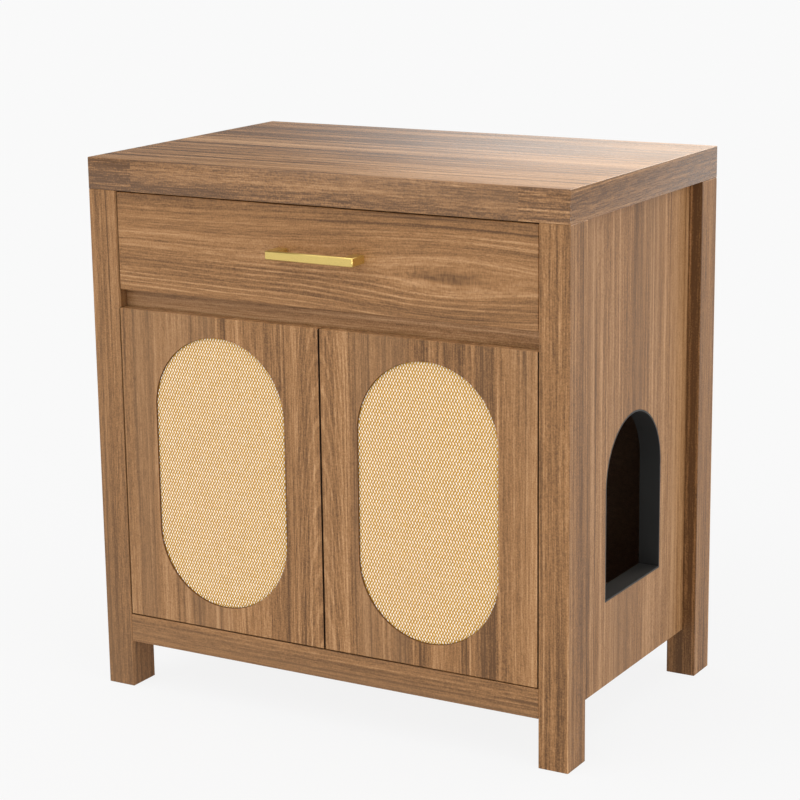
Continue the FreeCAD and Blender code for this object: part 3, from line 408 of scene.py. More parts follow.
@dataclass(frozen=True)
class DoorFoil(WoodFoil):
    """Foil on a door leaf, with painted shade on its upright edges, for the dark gaps beside them,
    and on the walls round its window, for the shade in its recess.

    The window's middle lies at `middle_at` from the cabinet's, it is clear of the edges by
    `clear_of` from there, and the walls round it lie within `heights`. The arches stand beside the
    gap out to `beside`, climb by `arch`, and lie `spacing` apart.
    """

    # Painted shade for the dark gaps beside the upright edges.
    gap_shade: Colour = (0.040, 0.022, 0.014)
    # Painted shade on the walls round the window, where its recess is shaded.
    recess_shade: Colour = (0.140, 0.062, 0.022)
    middle_at: float = 0.17625
    clear_of: float = 0.130
    heights: tuple[float, float] = (0.130, 0.590)
    arch: float = 130.0
    spacing: float = 0.055
    beside: tuple[float, float] = (0.030, 0.060)
    bent: tuple[float, float, float] = (14.0, 1.0, 3.0)
    bend: float = 0.06
    pale: float = 2.6

    def rings(self, paint: Paint, place: Signal) -> Signal:
        """Pale nested arches of growth lines beside the gap between the doors.

        Args:
            paint: The material that is being made.
            place: Places on the sheet, which the arches don't follow; not used.

        Returns:
            How pale the arches are.
        """
        x, _, z = paint.part_of(paint.place())
        bent = paint.noise(paint.scaled(paint.place(), self.bent), 2.0) - 0.5
        height = z + x * x * self.arch + bent * self.bend
        near = 1.0 - x.size().rise(*self.beside)
        return (height * (math.tau / self.spacing)).wave().rise(0.35, 1.0) * near * self.pale

    def gap_and_recess_shade(self, paint: Paint, colour: Signal) -> Signal:
        """Painted shade on the upright edges, for the dark gaps beside them, and on the walls of
        the window, for the shade in its recess.

        Args:
            paint: The material that is being made.
            colour: The foil's colour.

        Returns:
            The colour with the band and the walls over it.
        """
        x, _, z = paint.part_of(paint.place())
        faces_x, faces_y, _ = paint.facing()
        outer = (x.size() - self.middle_at).size().above(self.clear_of)
        # Painted shade on the upright edges, then on the walls round the window.
        banded = paint.blend(outer * faces_x.above(FLAT_ON), colour, self.gap_shade)
        low, high = self.heights
        inside = z.above(low) * (1.0 - z.above(high)) * (1.0 - outer)
        return paint.blend(inside * (1.0 - faces_y.above(LEANING)), banded, self.recess_shade)


@dataclass(frozen=True)
class KnottedFoil(WoodFoil):
    """Foil cut flat past a knot: the grain parts round it, with pale growth lines below it.

    The `heart` is the knot's X and Z, and `reach` is how far it bends the grain along each.
    """

    heart: tuple[float, float] = (0.2135, 0.691)
    reach: tuple[float, float] = (0.150, 0.045)
    parting: float = 0.88
    spacing: float = 7.2 * MM
    wander: float = 9.0
    wandering: tuple[float, float] = (40.0, 5.0)
    patches: tuple[float, float] = (30.0, 2.6)
    pale: float = 1.9
    dull: float = 0.75

    def from_heart(self, paint: Paint) -> tuple[Signal, Signal]:
        """Where a place lies from the knot.

        Args:
            paint: The material that is being made.

        Returns:
            Its height over the knot, and its squared distance in the knot's own reaches.
        """
        x, _, z = paint.part_of(paint.place())
        right = (x - self.heart[0]) * (1.0 / self.reach[0])
        rise = z - self.heart[1]
        up = rise * (1.0 / self.reach[1])
        return rise, right * right + up * up

    def coordinates(self, paint: Paint) -> Signal:
        """Places on the sheet, drawn together above and below the knot.

        Args:
            paint: The material that is being made.

        Returns:
            Places on the sheet.
        """
        rise, apart = self.from_heart(paint)
        pull = rise * (-self.parting) * (1.0 / (1.0 + apart))
        return paint.scaled(paint.vector(0.0, 0.0, pull), offset=super().coordinates(paint))

    def rings(self, paint: Paint, place: Signal) -> Signal:
        """Pale lines that follow the grain, and the dull heart of the knot.

        Args:
            paint: The material that is being made.
            place: Places on the sheet.

        Returns:
            How pale the lines are, below 0 at the heart.
        """
        _, _, height = paint.part_of(place)
        wander = paint.noise(paint.scaled(place, self.along(*self.wandering)), 2.0) * self.wander
        lines = (height * (math.tau / self.spacing) + wander).wave().rise(0.3, 1.0)
        rise, apart = self.from_heart(paint)
        patches = paint.noise(paint.scaled(place, self.along(*self.patches)), 2.0)
        strength = patches.rise(0.36, 0.62)
        below = (rise * -1.0).rise(-0.035, 0.02) * 0.85 + 0.15
        heart = 1.0 - apart.rise(0.0, 0.22)
        return lines * strength * below * self.pale - heart * self.dull


@dataclass(frozen=True)
class BandedFoil(WoodFoil):
    """Foil on the thick top: its edges are banded, with a joint near each corner.

    The joints lie `joint` from the middle, past which the sheet starts anew, `next_strip` away,
    as it does on the short edges, `next_side` away. The grain on the top is drawn out across by
    `breadth`. The long edges darken by `fade` over the stretch `fade_from`.
    """

    joint: float = 0.322
    next_strip: float = 0.7
    next_side: float = 3.0
    breadth: float = 0.42
    fade_from: tuple[float, float] = (-0.38, 0.05)
    fade: float = 0.17

    def painted_face_shade(self, paint: Paint) -> Signal:
        """The painted light and shade of each face direction, with the long edges a little darker
        towards the left.
        """
        left = 1.0 - paint.part_of(paint.place())[0].rise(*self.fade_from)
        return super().painted_face_shade(paint) - paint.facing()[1].above(WITH_EDGES) * left * self.fade

    def strength(self, paint: Paint) -> tuple[Signal | float, Signal | float]:
        """Bold smooth streaks on the top, and the usual grain on its edges."""
        up = paint.facing()[2].above(WITH_EDGES)
        return up + 1.15, 1.0 - up * 0.65

    def coordinates(self, paint: Paint) -> Signal:
        """Places on the sheet, turned on the short edges and moved past each joint.

        Args:
            paint: The material that is being made.

        Returns:
            Places on the sheet.
        """
        x, y, z = paint.part_of(paint.place())
        side, front, up = (share.above(WITH_EDGES) for share in paint.facing())
        past = x.size().above(self.joint) * front
        turned = paint.vector(y + self.next_side, x, z)
        broad = 1.0 - up * (1.0 - self.breadth)
        moved = paint.vector(x, y * broad, z + past * self.next_strip)
        chosen = paint.node("ShaderNodeMix", {"data_type": "VECTOR"},
                            {0: side, 4: moved, 5: turned}, 1)
        return self.on_sheet(paint, chosen)


@dataclass(frozen=True)
class Hardboard:
    """Thin back board of bare brown fibre."""

    bare: Colour = (0.165, 0.092, 0.050)

    def material(self, name: str) -> bpy.types.Material:
        """Build the board's finish.

        Args:
            name: The new material's name.

        Returns:
            The finished material.
        """
        paint = Paint.named(name)
        place = paint.place()
        fibres = paint.noise(paint.scaled(place, (420.0, 420.0, 420.0)), 5.0, 0.75) - 0.5
        flecks = paint.noise(paint.scaled(place, (150.0, 150.0, 260.0)), 3.0, 0.7) - 0.5
        cloud = paint.noise(paint.scaled(place, (6.0, 6.0, 6.0)), 4.0, 0.6) - 0.5
        share = fibres * 2.2 + flecks * flecks.size() * 9.0 + cloud * 1.3 + 0.45
        colour = paint.blend(share.limit(), shade(self.bare, 0.72),
                             shade(self.bare, 1.6))
        return paint.surface(Base_Color=colour, Roughness=0.72 + fibres * 0.2,
                             Normal=paint.bump(fibres, 0.3, 0.2 * MM))


@dataclass(frozen=True)
class WovenStrand:
    """Pale twisted paper strands over a golden ground."""

    pale: Colour = (1.000, 0.915, 0.800)
    golden: Colour = (0.640, 0.350, 0.040)
    depth: tuple[float, float] = (-0.2340, -0.2349)

    def ground(self, name: str) -> bpy.types.Material:
        """The golden ground that shows between the strands.

        Args:
            name: The new material's name.

        Returns:
            The finished material.
        """
        paint = Paint.named(name)
        fibres = paint.noise(paint.scaled(paint.place(), (900.0, 900.0, 260.0)), 3.0, 0.6) - 0.5
        colour = paint.blend((fibres * 1.6 + 0.5).limit(), self.golden,
                             shade(self.golden, 0.6))
        return paint.surface(Base_Color=colour, Roughness=0.75,
                             Normal=paint.bump(fibres, 0.5, 0.3 * MM))

    def strands(self, name: str, pitch: float, row: float) -> bpy.types.Material:
        """The strands, no two quite alike, pale where they stand out, with painted shade that
        turns them golden low down.

        Args:
            name: The new material's name.
            pitch: From one stitch to the next along a row.
            row: From one row to the next.

        Returns:
            The finished material.
        """
        paint = Paint.named(name)
        place = paint.place()
        _, y, _ = paint.part_of(place)
        cell = paint.scaled(place, (1.0 / pitch, 0.0, 1.0 / row))
        cell = paint.node("ShaderNodeVectorMath", {"operation": "FLOOR"}, {0: cell})
        chance = paint.node("ShaderNodeTexWhiteNoise", {"noise_dimensions": "3D"}, {0: cell})
        fibres = paint.noise(paint.scaled(place, (2600.0, 2600.0, 500.0)), 2.0, 0.6) - 0.5
        patches = paint.noise(paint.scaled(place, (60.0, 60.0, 60.0)), 2.0) - 0.5
        # Painted shade: golden low down, pale where the strand stands out.
        proud = y.rise(self.depth[0], self.depth[1])
        share = (proud * 2.2 - 0.50 + fibres * 0.5 + (chance - 0.5) * 0.9 + patches * 0.6).limit()
        colour = paint.blend(share, self.golden, self.pale)
        return paint.surface(Base_Color=colour, Roughness=0.62,
                             Normal=paint.bump(fibres, 0.4, 0.15 * MM))


@dataclass(frozen=True)
class Metal:
    """A metal with a fine satin brushing along X."""

    colour: Colour
    roughness: float = 0.3
    metallic: float = 1.0
    brushed: tuple[float, float, float] = (60.0, 2500.0, 2500.0)

    def material(self, name: str) -> bpy.types.Material:
        """Build the metal.

        Args:
            name: The new material's name.

        Returns:
            The finished material.
        """
        paint = Paint.named(name)
        place = paint.place()
        lines = paint.noise(paint.scaled(place, self.brushed), 2.0) - 0.5
        cloud = paint.noise(paint.scaled(place, (90.0, 90.0, 90.0)), 2.0) - 0.5
        colour = paint.blend((cloud + 0.5).limit(), shade(self.colour, 0.93),
                             self.colour)
        return paint.surface(Base_Color=colour, Metallic=self.metallic,
                             Roughness=self.roughness + lines * 0.16 + cloud * 0.06,
                             Normal=paint.bump(lines, 0.05, 0.1 * MM))


@dataclass(frozen=True)
class Plastic:
    """Moulded plastic with a fine spark-eroded texture."""

    colour: Colour
    roughness: float = 0.55
    pebble: float = 1400.0

    def material(self, name: str) -> bpy.types.Material:
        """Build the plastic.

        Args:
            name: The new material's name.

        Returns:
            The finished material.
        """
        paint = Paint.named(name)
        place = paint.place()
        pebbles = paint.noise(paint.scaled(place, (self.pebble,) * 3), 2.0) - 0.5
        cloud = paint.noise(paint.scaled(place, (14.0,) * 3), 3.0) - 0.5
        colour = paint.blend((cloud * 1.2 + 0.5).limit(), shade(self.colour, 0.85),
                             shade(self.colour, 1.15))
        return paint.surface(Base_Color=colour, Roughness=self.roughness + cloud * 0.15,
                             Normal=paint.bump(pebbles, 0.25, 0.12 * MM))


# ---------------------------------------------------------------- modelling helpers

def deselect_all() -> None:
    """Leave edit mode and select nothing."""
    if bpy.context.object and bpy.context.object.mode != "OBJECT":
        bpy.ops.object.mode_set(mode="OBJECT")
    bpy.ops.object.select_all(action="DESELECT")


class Workpiece:
    """A new piece that starts as a primitive and is shaped in edit mode."""

    def __init__(self, name: str) -> None:
        """Take over the primitive that was just added, with its place in its mesh.

        Args:
            name: The piece's name.
        """
        self.object = bpy.context.object
        self.object.name = name
        self.object.data.name = name
        bpy.ops.object.transform_apply(location=True, rotation=True, scale=True)
        bpy.ops.object.mode_set(mode="EDIT")

    @classmethod
    def block(cls, name: str, low: Vector, high: Vector) -> "Workpiece":
        """A block between two corners.

        Args:
            name: The piece's name.
            low: Its lowest corner.
            high: Its highest corner.

        Returns:
            The block, in edit mode.
        """
        deselect_all()
        bpy.ops.mesh.primitive_cube_add(size=1.0, location=(low + high) / 2, scale=high - low)
        return cls(name)

    def pick_faces(self, test: Callable[[Vector, Vector], bool]) -> None:
        """Select faces.

        Args:
            test: Whether a face is wanted, from its middle and its normal.
        """
        bpy.ops.mesh.select_mode(type="FACE")
        mesh = bmesh.from_edit_mesh(self.object.data)
        for face in mesh.faces:
            face.select_set(test(face.calc_center_median(), face.normal))
        bmesh.update_edit_mesh(self.object.data)

    def pick_edges(self, test: Callable[[Vector, Vector], bool]) -> None:
        """Select edges.

        Args:
            test: Whether an edge is wanted, from its two ends.
        """
        bpy.ops.mesh.select_mode(type="EDGE")
        mesh = bmesh.from_edit_mesh(self.object.data)
        for edge in mesh.edges:
            edge.select_set(test(edge.verts[0].co, edge.verts[1].co))
        bmesh.update_edit_mesh(self.object.data)

    def extrude(self, y: float = 0.0, z: float = 0.0) -> None:
        """Draw the selected faces out along Y or Z."""
        bpy.ops.mesh.extrude_region_move(TRANSFORM_OT_translate={"value": (0.0, y, z)})

    def soften(self, radius: float, segments: int = 3) -> None:
        """Round the selected edges, or cut them flat with one segment."""
        bpy.ops.mesh.bevel(offset=radius, offset_type="OFFSET", segments=segments,
                           affect="EDGES", profile=0.5)

    def done(self, body: str, slot: str, material: bpy.types.Material,
             replaces: tuple[str, ...] = ()) -> None:
        """Leave edit mode and hand the piece over.

        Args:
            body: The CAD body that it moves with.
            slot: The record's material slot; not used.
            material: Its finish.
            replaces: CAD nodes that it stands for.
        """
        bpy.ops.mesh.select_all(action="SELECT")
        bpy.ops.mesh.normals_make_consistent(inside=False)
        bpy.ops.object.mode_set(mode="OBJECT")
        bpy.ops.object.shade_smooth_by_angle(angle=SMOOTH_BELOW)
        self.object.data.materials.clear()
        self.object.data.materials.append(material)
        hand_over(self.object, body, replaces)


def hand_over(piece: bpy.types.Object, body: str,
              replaces: tuple[str, ...] = ()) -> None:
    """Tell the frame what a finished piece is, and log it.

    Args:
        piece: The finished piece.
        body: The CAD body that it moves with.
        replaces: CAD nodes that it stands for.
    """
    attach(piece, body)
    if replaces:
        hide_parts(*replaces)
    log.info("%s rides on %s, %d faces", piece.name, body, len(piece.data.polygons))


def dress(node: str, material: bpy.types.Material) -> None:
    """Give a CAD node its finish.

    Args:
        node: The node's name.
        material: Its finish.
    """
    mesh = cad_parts[node].data
    mesh.materials.clear()
    mesh.materials.append(material)
    log.info("%s has %s", node, material.name)


# ---------------------------------------------------------------- the cabinet

@dataclass
class Top:
    """The thick top, one slab to the eye, with softened edges and a hollow underside."""

    lip: float = 45 * MM
    board: float = 15 * MM
    edge_radius: float = 1.1 * MM
    nodes: tuple[str, ...] = ("top_board", "top_front_lip", "top_back_lip", "top_left_lip",
                              "top_right_lip")

    def build(self) -> None:
        """Model the slab over its five boards."""
        low = Vector(map(min, *(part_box(node)[0] for node in self.nodes)))
        high = Vector(map(max, *(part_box(node)[1] for node in self.nodes)))
        slab = Workpiece.block("top_slab", low, high)
        slab.pick_faces(lambda middle, normal: normal.z < -0.5)
        bpy.ops.mesh.inset(thickness=self.lip, depth=0.0)
        slab.extrude(z=high.z - low.z - self.board)
        slab.pick_edges(lambda a, b: self.is_outer(a, low, high) and self.is_outer(b, low, high))
        slab.soften(self.edge_radius)
        # Painted light: the top face lighter and its edges darker.
        foil = BandedFoil(grain=Grain.X, seed=4.0, figure=0.2, painted_face_shading=(-0.20, -0.20, 0.03),
                          roughness=0.28, shine=0.5)
        slab.done("cabinet", "laminate", foil.material("top_foil"), self.nodes)

    @staticmethod
    def is_outer(point: Vector, low: Vector, high: Vector) -> bool:
        """Whether a point is a corner of the slab."""
        return all(min(point[i] - low[i], high[i] - point[i]) < NEAR for i in range(3))


@dataclass(frozen=True)
class Board:
    """How one board is cut from the foil."""

    node: str
    grain: Grain
    seed: float
    figure: float = 0.3
    # Painted light and shade on the faces that look along X, Y and Z.
    painted_face_shading: tuple[float, float, float] = (0.0, 0.0, 0.0)


@dataclass
class Carcass:
    """Legs, panels, rails and shelves."""

    # Painted shade: the legs' faces darker, their front faces most, and the back right leg's front
    # face, in its recess, darkest; the rails' front faces darker too.
    boards: tuple[Board, ...] = (
        Board("front_left_leg", Grain.Z, 11.0, 0.1, (-0.10, -0.21, 0.0)),
        Board("front_right_leg", Grain.Z, 12.3, 0.1, (-0.10, -0.21, 0.0)),
        Board("back_left_leg", Grain.Z, 13.1, 0.1, (-0.10, -0.21, 0.0)),
        Board("back_right_leg", Grain.Z, 14.6, 0.1, (-0.10, -0.42, 0.0)),
        Board("left_side_panel", Grain.Z, 21.4, 0.5),
        Board("right_side_panel", Grain.Z, 22.7, 0.35),
        Board("front_bottom_rail", Grain.X, 31.2, 0.2, (0.0, -0.10, 0.0)),
        Board("back_bottom_rail", Grain.X, 32.9),
        Board("back_top_rail", Grain.X, 33.3),
        Board("mid_rail", Grain.X, 34.8, 0.2, (0.0, -0.10, 0.0)),
        Board("bottom_board", Grain.X, 41.5, 0.6),
        Board("divider_shelf", Grain.X, 42.2, 0.6),
        Board("left_slide_spacer", Grain.Y, 43.1),
        Board("right_slide_spacer", Grain.Y, 44.7),
    )

    def build(self) -> None:
        """Dress the boards."""
        for board in self.boards:
            foil = WoodFoil(board.grain, board.seed, board.figure, board.painted_face_shading)
            dress(board.node, foil.material(board.node + "_foil"))
        dress("back_panel", Hardboard().material("bare_hardboard"))


@dataclass
class Entry:
    """The moulded tunnel in the right side."""

    colour: Colour = (0.0200, 0.0200, 0.0195)

    def build(self) -> None:
        """Dress the liner."""
        dress("entry_liner", Plastic(self.colour).material("dark_liner_plastic"))


@dataclass
class Doors:
    """Two leaves with woven inlays."""

    stitch_pitch: float = 4.79 * MM
    row_pitch: float = 4.79 * MM
    stitch_long: float = 5.5 * MM
    stitch_wide: float = 2.0 * MM
    stitch_proud: float = 1.1 * MM
    lean: float = math.radians(20)
    stitch_sides: int = 8
    stitch_rings: int = 6
    least_inside: float = 1 / 3
    # Each leaf's cut of the foil, and the painted shade on its faces that look forward and back.
    cuts: Mapping[str, tuple[float, float]] = field(
        default_factory=lambda: {"left": (51.0, -0.05), "right": (53.4, -0.17)})

    def build(self) -> None:
        """Dress the leaves and weave the inlays."""
        finish = WovenStrand()
        ground = finish.ground("golden_ground")
        strands = finish.strands("pale_strands", self.stitch_pitch, self.row_pitch)
        for side, (seed, tone) in self.cuts.items():
            foil = DoorFoil(Grain.Z, seed, 0.5, (0.0, tone, 0.0))
            dress(f"{side}_door_leaf", foil.material(f"{side}_door_foil"))
            dress(f"{side}_rattan_inlay", ground)
            self.weave(side, strands)

    def weave(self, side: str, material: bpy.types.Material) -> None:
        """Lay leaning stitches in rows over one inlay, each row leaning against the last.

        Args:
            side: Which door.
            material: The strands' finish.
        """
        low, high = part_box(f"{side}_rattan_inlay")
        columns = math.ceil((high.x - low.x) / self.stitch_pitch) + 1
        pairs = math.ceil((high.z - low.z) / self.row_pitch / 2) + 1
        corner = Vector((low.x, low.y, low.z))
        first = self.stitch(f"{side}_weave", corner, self.lean)
        second = self.stitch("next_row", corner + Vector((self.stitch_pitch / 2, 0.0,
                                                          self.row_pitch)), -self.lean)
        deselect_all()
        second.select_set(True)
        first.select_set(True)
        bpy.context.view_layer.objects.active = first
        bpy.ops.object.join()
        for count, step in ((columns, (self.stitch_pitch, 0.0, 0.0)),
                            (pairs, (0.0, 0.0, 2 * self.row_pitch))):
            self.repeat(first, count, step)
        self.trim(first, low, high)
        first.data.materials.clear()
        first.data.materials.append(material)
        bpy.ops.object.shade_smooth()
        hand_over(first, f"{side}_door")

    def stitch(self, name: str, middle: Vector, lean: float) -> bpy.types.Object:
        """One stitch: the front half of a long bead, leaning to one side.

        Args:
            name: The piece's name.
            middle: Where its middle lies.
            lean: How far its top leans to the right, as an angle.

        Returns:
            The stitch.
        """
        deselect_all()
        bpy.ops.mesh.primitive_uv_sphere_add(segments=self.stitch_sides,
                                             ring_count=self.stitch_rings, radius=0.5)
        bead = Workpiece(name)
        bpy.ops.mesh.select_all(action="SELECT")
        bpy.ops.mesh.bisect(plane_co=(0, 0, 0), plane_no=(0, 1, 0), clear_outer=True)
        bpy.ops.object.mode_set(mode="OBJECT")
        size = (self.stitch_wide, 2 * self.stitch_proud, self.stitch_long)
        shape = (Matrix.Translation(middle) @ Matrix.Rotation(lean, 4, "Y")
                 @ Matrix.Diagonal((*size, 1.0)))
        bead.object.data.transform(shape)
        return bead.object

    @staticmethod
    def repeat(piece: bpy.types.Object, count: int, step: tuple[float, float, float]) -> None:
        """Copy the active piece's mesh along a line.

        Args:
            piece: The active piece.
            count: How many there are in the end.
            step: From one to the next.
        """
        row = piece.modifiers.new("rows", "ARRAY")
        row.use_relative_offset = False
        row.use_constant_offset = True
        row.constant_offset_displace = step
        row.count = count
        bpy.ops.object.modifier_apply(modifier=row.name)

    def trim(self, piece: bpy.types.Object, low: Vector, high: Vector) -> None:
        """Tuck the stitches in at the rim of the round-ended window, and drop those outside.

        Args:
            piece: The stitches.
            low: The window's lowest corner, with the ground's front face at its Y.
            high: The window's highest corner.
        """
        half = (high.x - low.x) / 2
        centre_x = (low.x + high.x) / 2
        top, bottom = high.z - half, low.z + half
        mesh = bmesh.new()
        mesh.from_mesh(piece.data)
        outside = []
        for island in islands(mesh):
            inside = 0
            for vertex in island:
                spine = Vector((centre_x, vertex.co.y, min(max(vertex.co.z, bottom), top)))
                offset = vertex.co - spine
                if offset.length < half:
                    inside += 1
                else:
                    vertex.co = spine + offset * (half / offset.length)
                    vertex.co.y = low.y
            if inside < len(island) * self.least_inside:
                outside += island
        bmesh.ops.delete(mesh, geom=outside, context="VERTS")
        mesh.to_mesh(piece.data)
        mesh.free()


def islands(mesh: bmesh.types.BMesh) -> list[list[bmesh.types.BMVert]]:
    """The separate lumps of a mesh.

    Args:
        mesh: The mesh.

    Returns:
        The lumps, each as a list of its vertices.
    """
    seen: set[int] = set()
    lumps = []
    mesh.verts.index_update()
    for start in mesh.verts:
        if start.index in seen:
            continue
        seen.add(start.index)
        lump, edge = [start], [start]
        while edge:
            for link in edge.pop().link_edges:
                for vertex in link.verts:
                    if vertex.index not in seen:
                        seen.add(vertex.index)
                        lump.append(vertex)
                        edge.append(vertex)
        lumps.append(lump)
    return lumps


@dataclass
class Drawer:
    """The drawer front, its box and its square bar pull."""

    foot: float = 18 * MM
    bar: float = 6 * MM
    edge_cut: float = 1.4 * MM
    brass: Metal = Metal((0.700, 0.520, 0.170), 0.30, 0.85)

    def build(self) -> None:
        """Dress the drawer and model the pull."""
        # Painted shade on the drawer front's faces that look forward and back.
        front = KnottedFoil(grain=Grain.X, seed=61.0, figure=1.2, painted_face_shading=(0.0, -0.13, 0.0),
                            contrast=0.8)
        dress("drawer_front", front.material("drawer_front_foil"))
        for index, node in enumerate(("drawer_left_side", "drawer_right_side")):
            dress(node, WoodFoil(Grain.Y, 63.0 + index).material(node + "_foil"))
        dress("drawer_back", WoodFoil(Grain.X, 66.0).material("drawer_back_foil"))
        dress("drawer_bottom", Hardboard().material("drawer_bottom_hardboard"))
        self.pull()

    def pull(self) -> None:
        """Model the bar and draw its two feet back to the drawer."""
        low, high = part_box("drawer_pull")
        bar = Workpiece.block("bar_pull", low, Vector((high.x, low.y + self.bar, high.z)))
        left, right = low.x + self.foot, high.x - self.foot
        for x in (left, right):
            bpy.ops.mesh.select_all(action="SELECT")
            bpy.ops.mesh.bisect(plane_co=(x, 0, 0), plane_no=(1, 0, 0))
        bar.pick_faces(lambda middle, normal: normal.y > 0.5 and not left < middle.x < right)
        bar.extrude(y=high.y - low.y - self.bar)
        bpy.ops.mesh.select_all(action="SELECT")
        bpy.ops.mesh.dissolve_limited(angle_limit=math.radians(1))
        bar.pick_edges(lambda a, b: min(a.y, b.y) < high.y - NEAR)
        bar.soften(self.edge_cut, segments=1)
        bar.done("drawer", "pull_metal", self.brass.material("satin_brass"), ("drawer_pull",))


@dataclass
class Hardware:
    """Slides, hinges, catches and fasteners."""

    zinc: Metal = Metal((0.600, 0.600, 0.605), 0.32)
    steel_words: tuple[str, ...] = ("screws", "hinge_", "slide_channel", "slide_middle",
                                    "slide_rail", "strike_plate", "cam_")

    def build(self) -> None:
        """Dress every piece of steel, and the rest of the fittings."""
        steel = self.zinc.material("zinc_steel")
        for node in sorted(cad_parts):
            if any(word in node for word in self.steel_words):
                dress(node, steel)
        dress("door_catches", Plastic((0.035, 0.025, 0.02)).material("brown_plastic"))
        beech = WoodFoil(Grain.Y, 71.0, 0.0, roughness=0.6, dark=(0.42, 0.27, 0.14),
                         middle=(0.56, 0.38, 0.21), light=(0.66, 0.48, 0.29),
                         greyed=(0.50, 0.34, 0.19))
        dress("dowels", beech.material("beech"))


# ---------------------------------------------------------------- studio

@dataclass(frozen=True)
class Lamp:
    """A wide soft lamp, so far off that it lights everything from one side."""

    name: str
    strength: float
    spread: float
    towards: tuple[float, float, float]


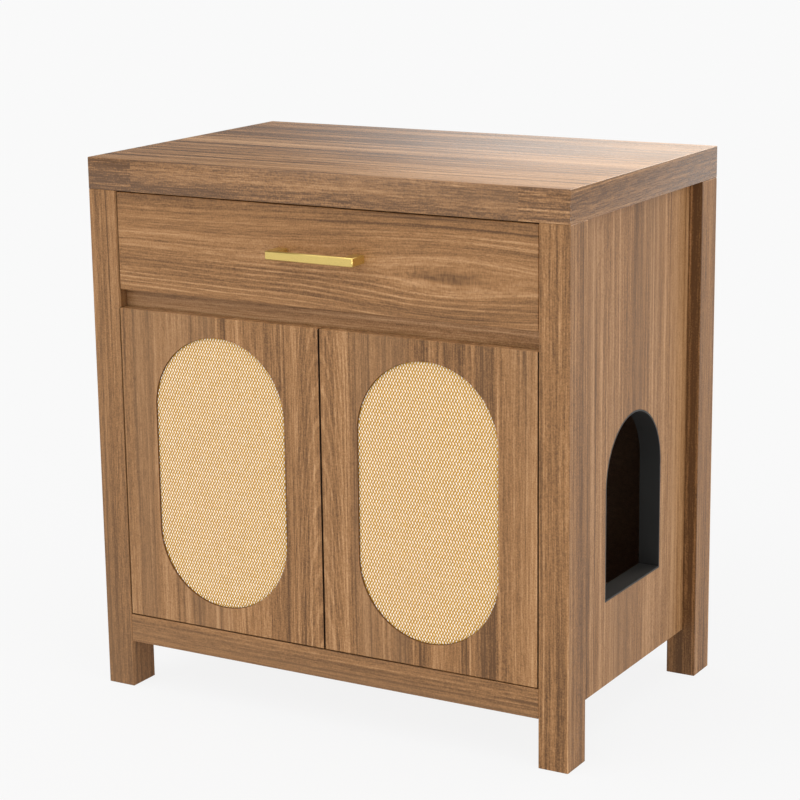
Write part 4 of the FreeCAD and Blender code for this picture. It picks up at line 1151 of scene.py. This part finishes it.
@dataclass
class Studio:
    """A pale floor, soft light all round, and the camera.

    Reflections see a sky that is `dimmest` at the left, brightens by `brighten` and fades by
    `fade` towards the right, each a start, an end and an amount along `across`. They also see a
    lamp at `lamp_aim`, which the top mirrors, and a bright card on the floor, for the pull.
    """

    background: float = 0.945
    floor_size: float = 80.0
    floor_tone: float = 0.8
    floor_glow: tuple[float, float] = (0.3, 0.62)
    card_place: tuple[float, float] = (2.6, -1.8)
    card_reach: tuple[float, float] = (0.1, 0.8)
    card_strength: float = 22.0
    ambient: float = 0.72
    across: tuple[float, float, float] = (0.866, 0.5, 0.0)
    brighten: tuple[float, float, float] = (-0.09, 0.16, 1.60)
    fade: tuple[float, float, float] = (0.30, 0.70, 1.10)
    dimmest: float = 0.20
    lamp_aim: tuple[float, float, float] = (0.232, 0.841, 0.489)
    lamp_reach: tuple[float, float] = (0.86, 0.97)
    lamp_strength: float = 5.0
    warm: Colour = (1.0, 0.88, 0.77)
    warm_over: tuple[float, float] = (-0.05, 0.2)
    soft_lamps: tuple[Lamp, ...] = (
        Lamp("overhead", 1.1, 70.0, (0.15, 0.25, -1.0)),
        Lamp("front_left", 0.8, 50.0, (0.45, 0.85, -0.45)),
        Lamp("right", 0.6, 50.0, (-0.85, 0.25, -0.35)),
    )
    camera_place: tuple[float, float, float] = (1.7352, -2.9907, 1.2723)
    forward: tuple[float, float, float] = (-0.48893, 0.84091, -0.23198)
    roll: float = math.radians(-0.741)
    lens: float = 104.4
    sensor: float = 36.0

    def build(self) -> None:
        """Set up the floor, the light and the camera."""
        self.floor()
        self.world()
        self.lamps()
        self.camera()
        bpy.context.scene.view_settings.view_transform = "Standard"

    def floor(self) -> None:
        """A wide plane that keeps a faint shadow, with a card that only reflections see."""
        deselect_all()
        bpy.ops.mesh.primitive_plane_add(size=self.floor_size, location=(0.0, 0.0, -0.2 * MM))
        plane = bpy.context.object
        plane.name = "studio_floor"
        paint = Paint.named("studio_floor")
        tone = (self.background,) * 3
        glow = paint.node("ShaderNodeEmission", {}, {"Color": (*tone, 1.0)})
        chalk = paint.node("ShaderNodeBsdfDiffuse", {}, {"Color": (*(self.floor_tone,) * 3, 1.0)})
        seen, glossy = self.rays(paint)
        x, y, _ = paint.part_of(paint.node("ShaderNodeNewGeometry", output="Position"))
        right, back = x - self.card_place[0], y - self.card_place[1]
        near = 1.0 - (right * right + back * back).rise(*self.card_reach)
        card = paint.node("ShaderNodeEmission", {}, {"Color": (1.0, 1.0, 1.0, 1.0),
                                                     "Strength": self.card_strength})
        least, more = self.floor_glow
        plain = paint.node("ShaderNodeMixShader", {}, {0: seen * more + least, 1: chalk, 2: glow})
        lit = paint.node("ShaderNodeMixShader", {}, {0: glossy * near, 1: plain, 2: card})
        paint.node_output("ShaderNodeOutputMaterial", lit)
        plane.data.materials.append(paint.owner)

    @staticmethod
    def rays(paint: Paint) -> tuple[Signal, Signal]:
        """Whether a ray comes from the camera, and whether it is a reflection."""
        seen = paint.node("ShaderNodeLightPath", output="Is Camera Ray")
        return seen, Signal(paint, seen.socket.node.outputs["Is Glossy Ray"])

    def world(self) -> None:
        """Even light all round, white to the camera, with a gentle slope for reflections."""
        world = bpy.data.worlds.new("studio")
        bpy.context.scene.world = world
        paint = Paint(world)
        seen, glossy = self.rays(paint)
        direction = paint.part_of(paint.node("ShaderNodeTexCoord", output="Generated"))
        across, aimed = (sum(part * share for part, share in zip(direction, aim))
                         for aim in (self.across, self.lamp_aim))
        rise, drop = (across.rise(start, end) * amount
                      for start, end, amount in (self.brighten, self.fade))
        lamp = aimed.rise(*self.lamp_reach) * self.lamp_strength
        shine = rise - drop + lamp + self.dimmest
        warm = paint.blend(across.rise(*self.warm_over) * glossy, (1.0, 1.0, 1.0), self.warm)
        strength = seen * self.background + (1.0 - seen) * (
            glossy * shine + (1.0 - glossy) * self.ambient)
        sky = paint.node("ShaderNodeBackground", {}, {"Color": warm, "Strength": strength})
        paint.node_output("ShaderNodeOutputWorld", sky)

    def lamps(self) -> None:
        """Wide soft lamps overhead, from the front left and from the right."""
        for lamp in self.soft_lamps:
            data = bpy.data.lights.new(lamp.name, "SUN")
            data.energy = lamp.strength
            data.angle = math.radians(lamp.spread)
            hung = bpy.data.objects.new(lamp.name, data)
            hung.rotation_mode = "QUATERNION"
            hung.rotation_quaternion = Vector(lamp.towards).to_track_quat("-Z", "Y")
            bpy.context.scene.collection.objects.link(hung)

    def camera(self) -> None:
        """The photograph's viewpoint."""
        data = bpy.data.cameras.new("camera")
        data.lens = self.lens
        data.sensor_width = self.sensor
        camera = bpy.data.objects.new("camera", data)
        camera.location = self.camera_place
        camera.rotation_mode = "QUATERNION"
        aimed = Vector(self.forward).to_track_quat("-Z", "Y")
        camera.rotation_quaternion = aimed @ Quaternion((0.0, 0.0, 1.0), self.roll)
        bpy.context.scene.collection.objects.link(camera)
        bpy.context.scene.camera = camera


def main() -> None:
    """Dress the cabinet and light it."""
    logging.basicConfig(level=logging.INFO, format="%(message)s")
    for assembly in (Top(), Carcass(), Entry(), Doors(), Drawer(), Hardware(), Studio()):
        log.info("building %s", type(assembly).__name__)
        assembly.build()


if __name__ == "__main__":
    main()
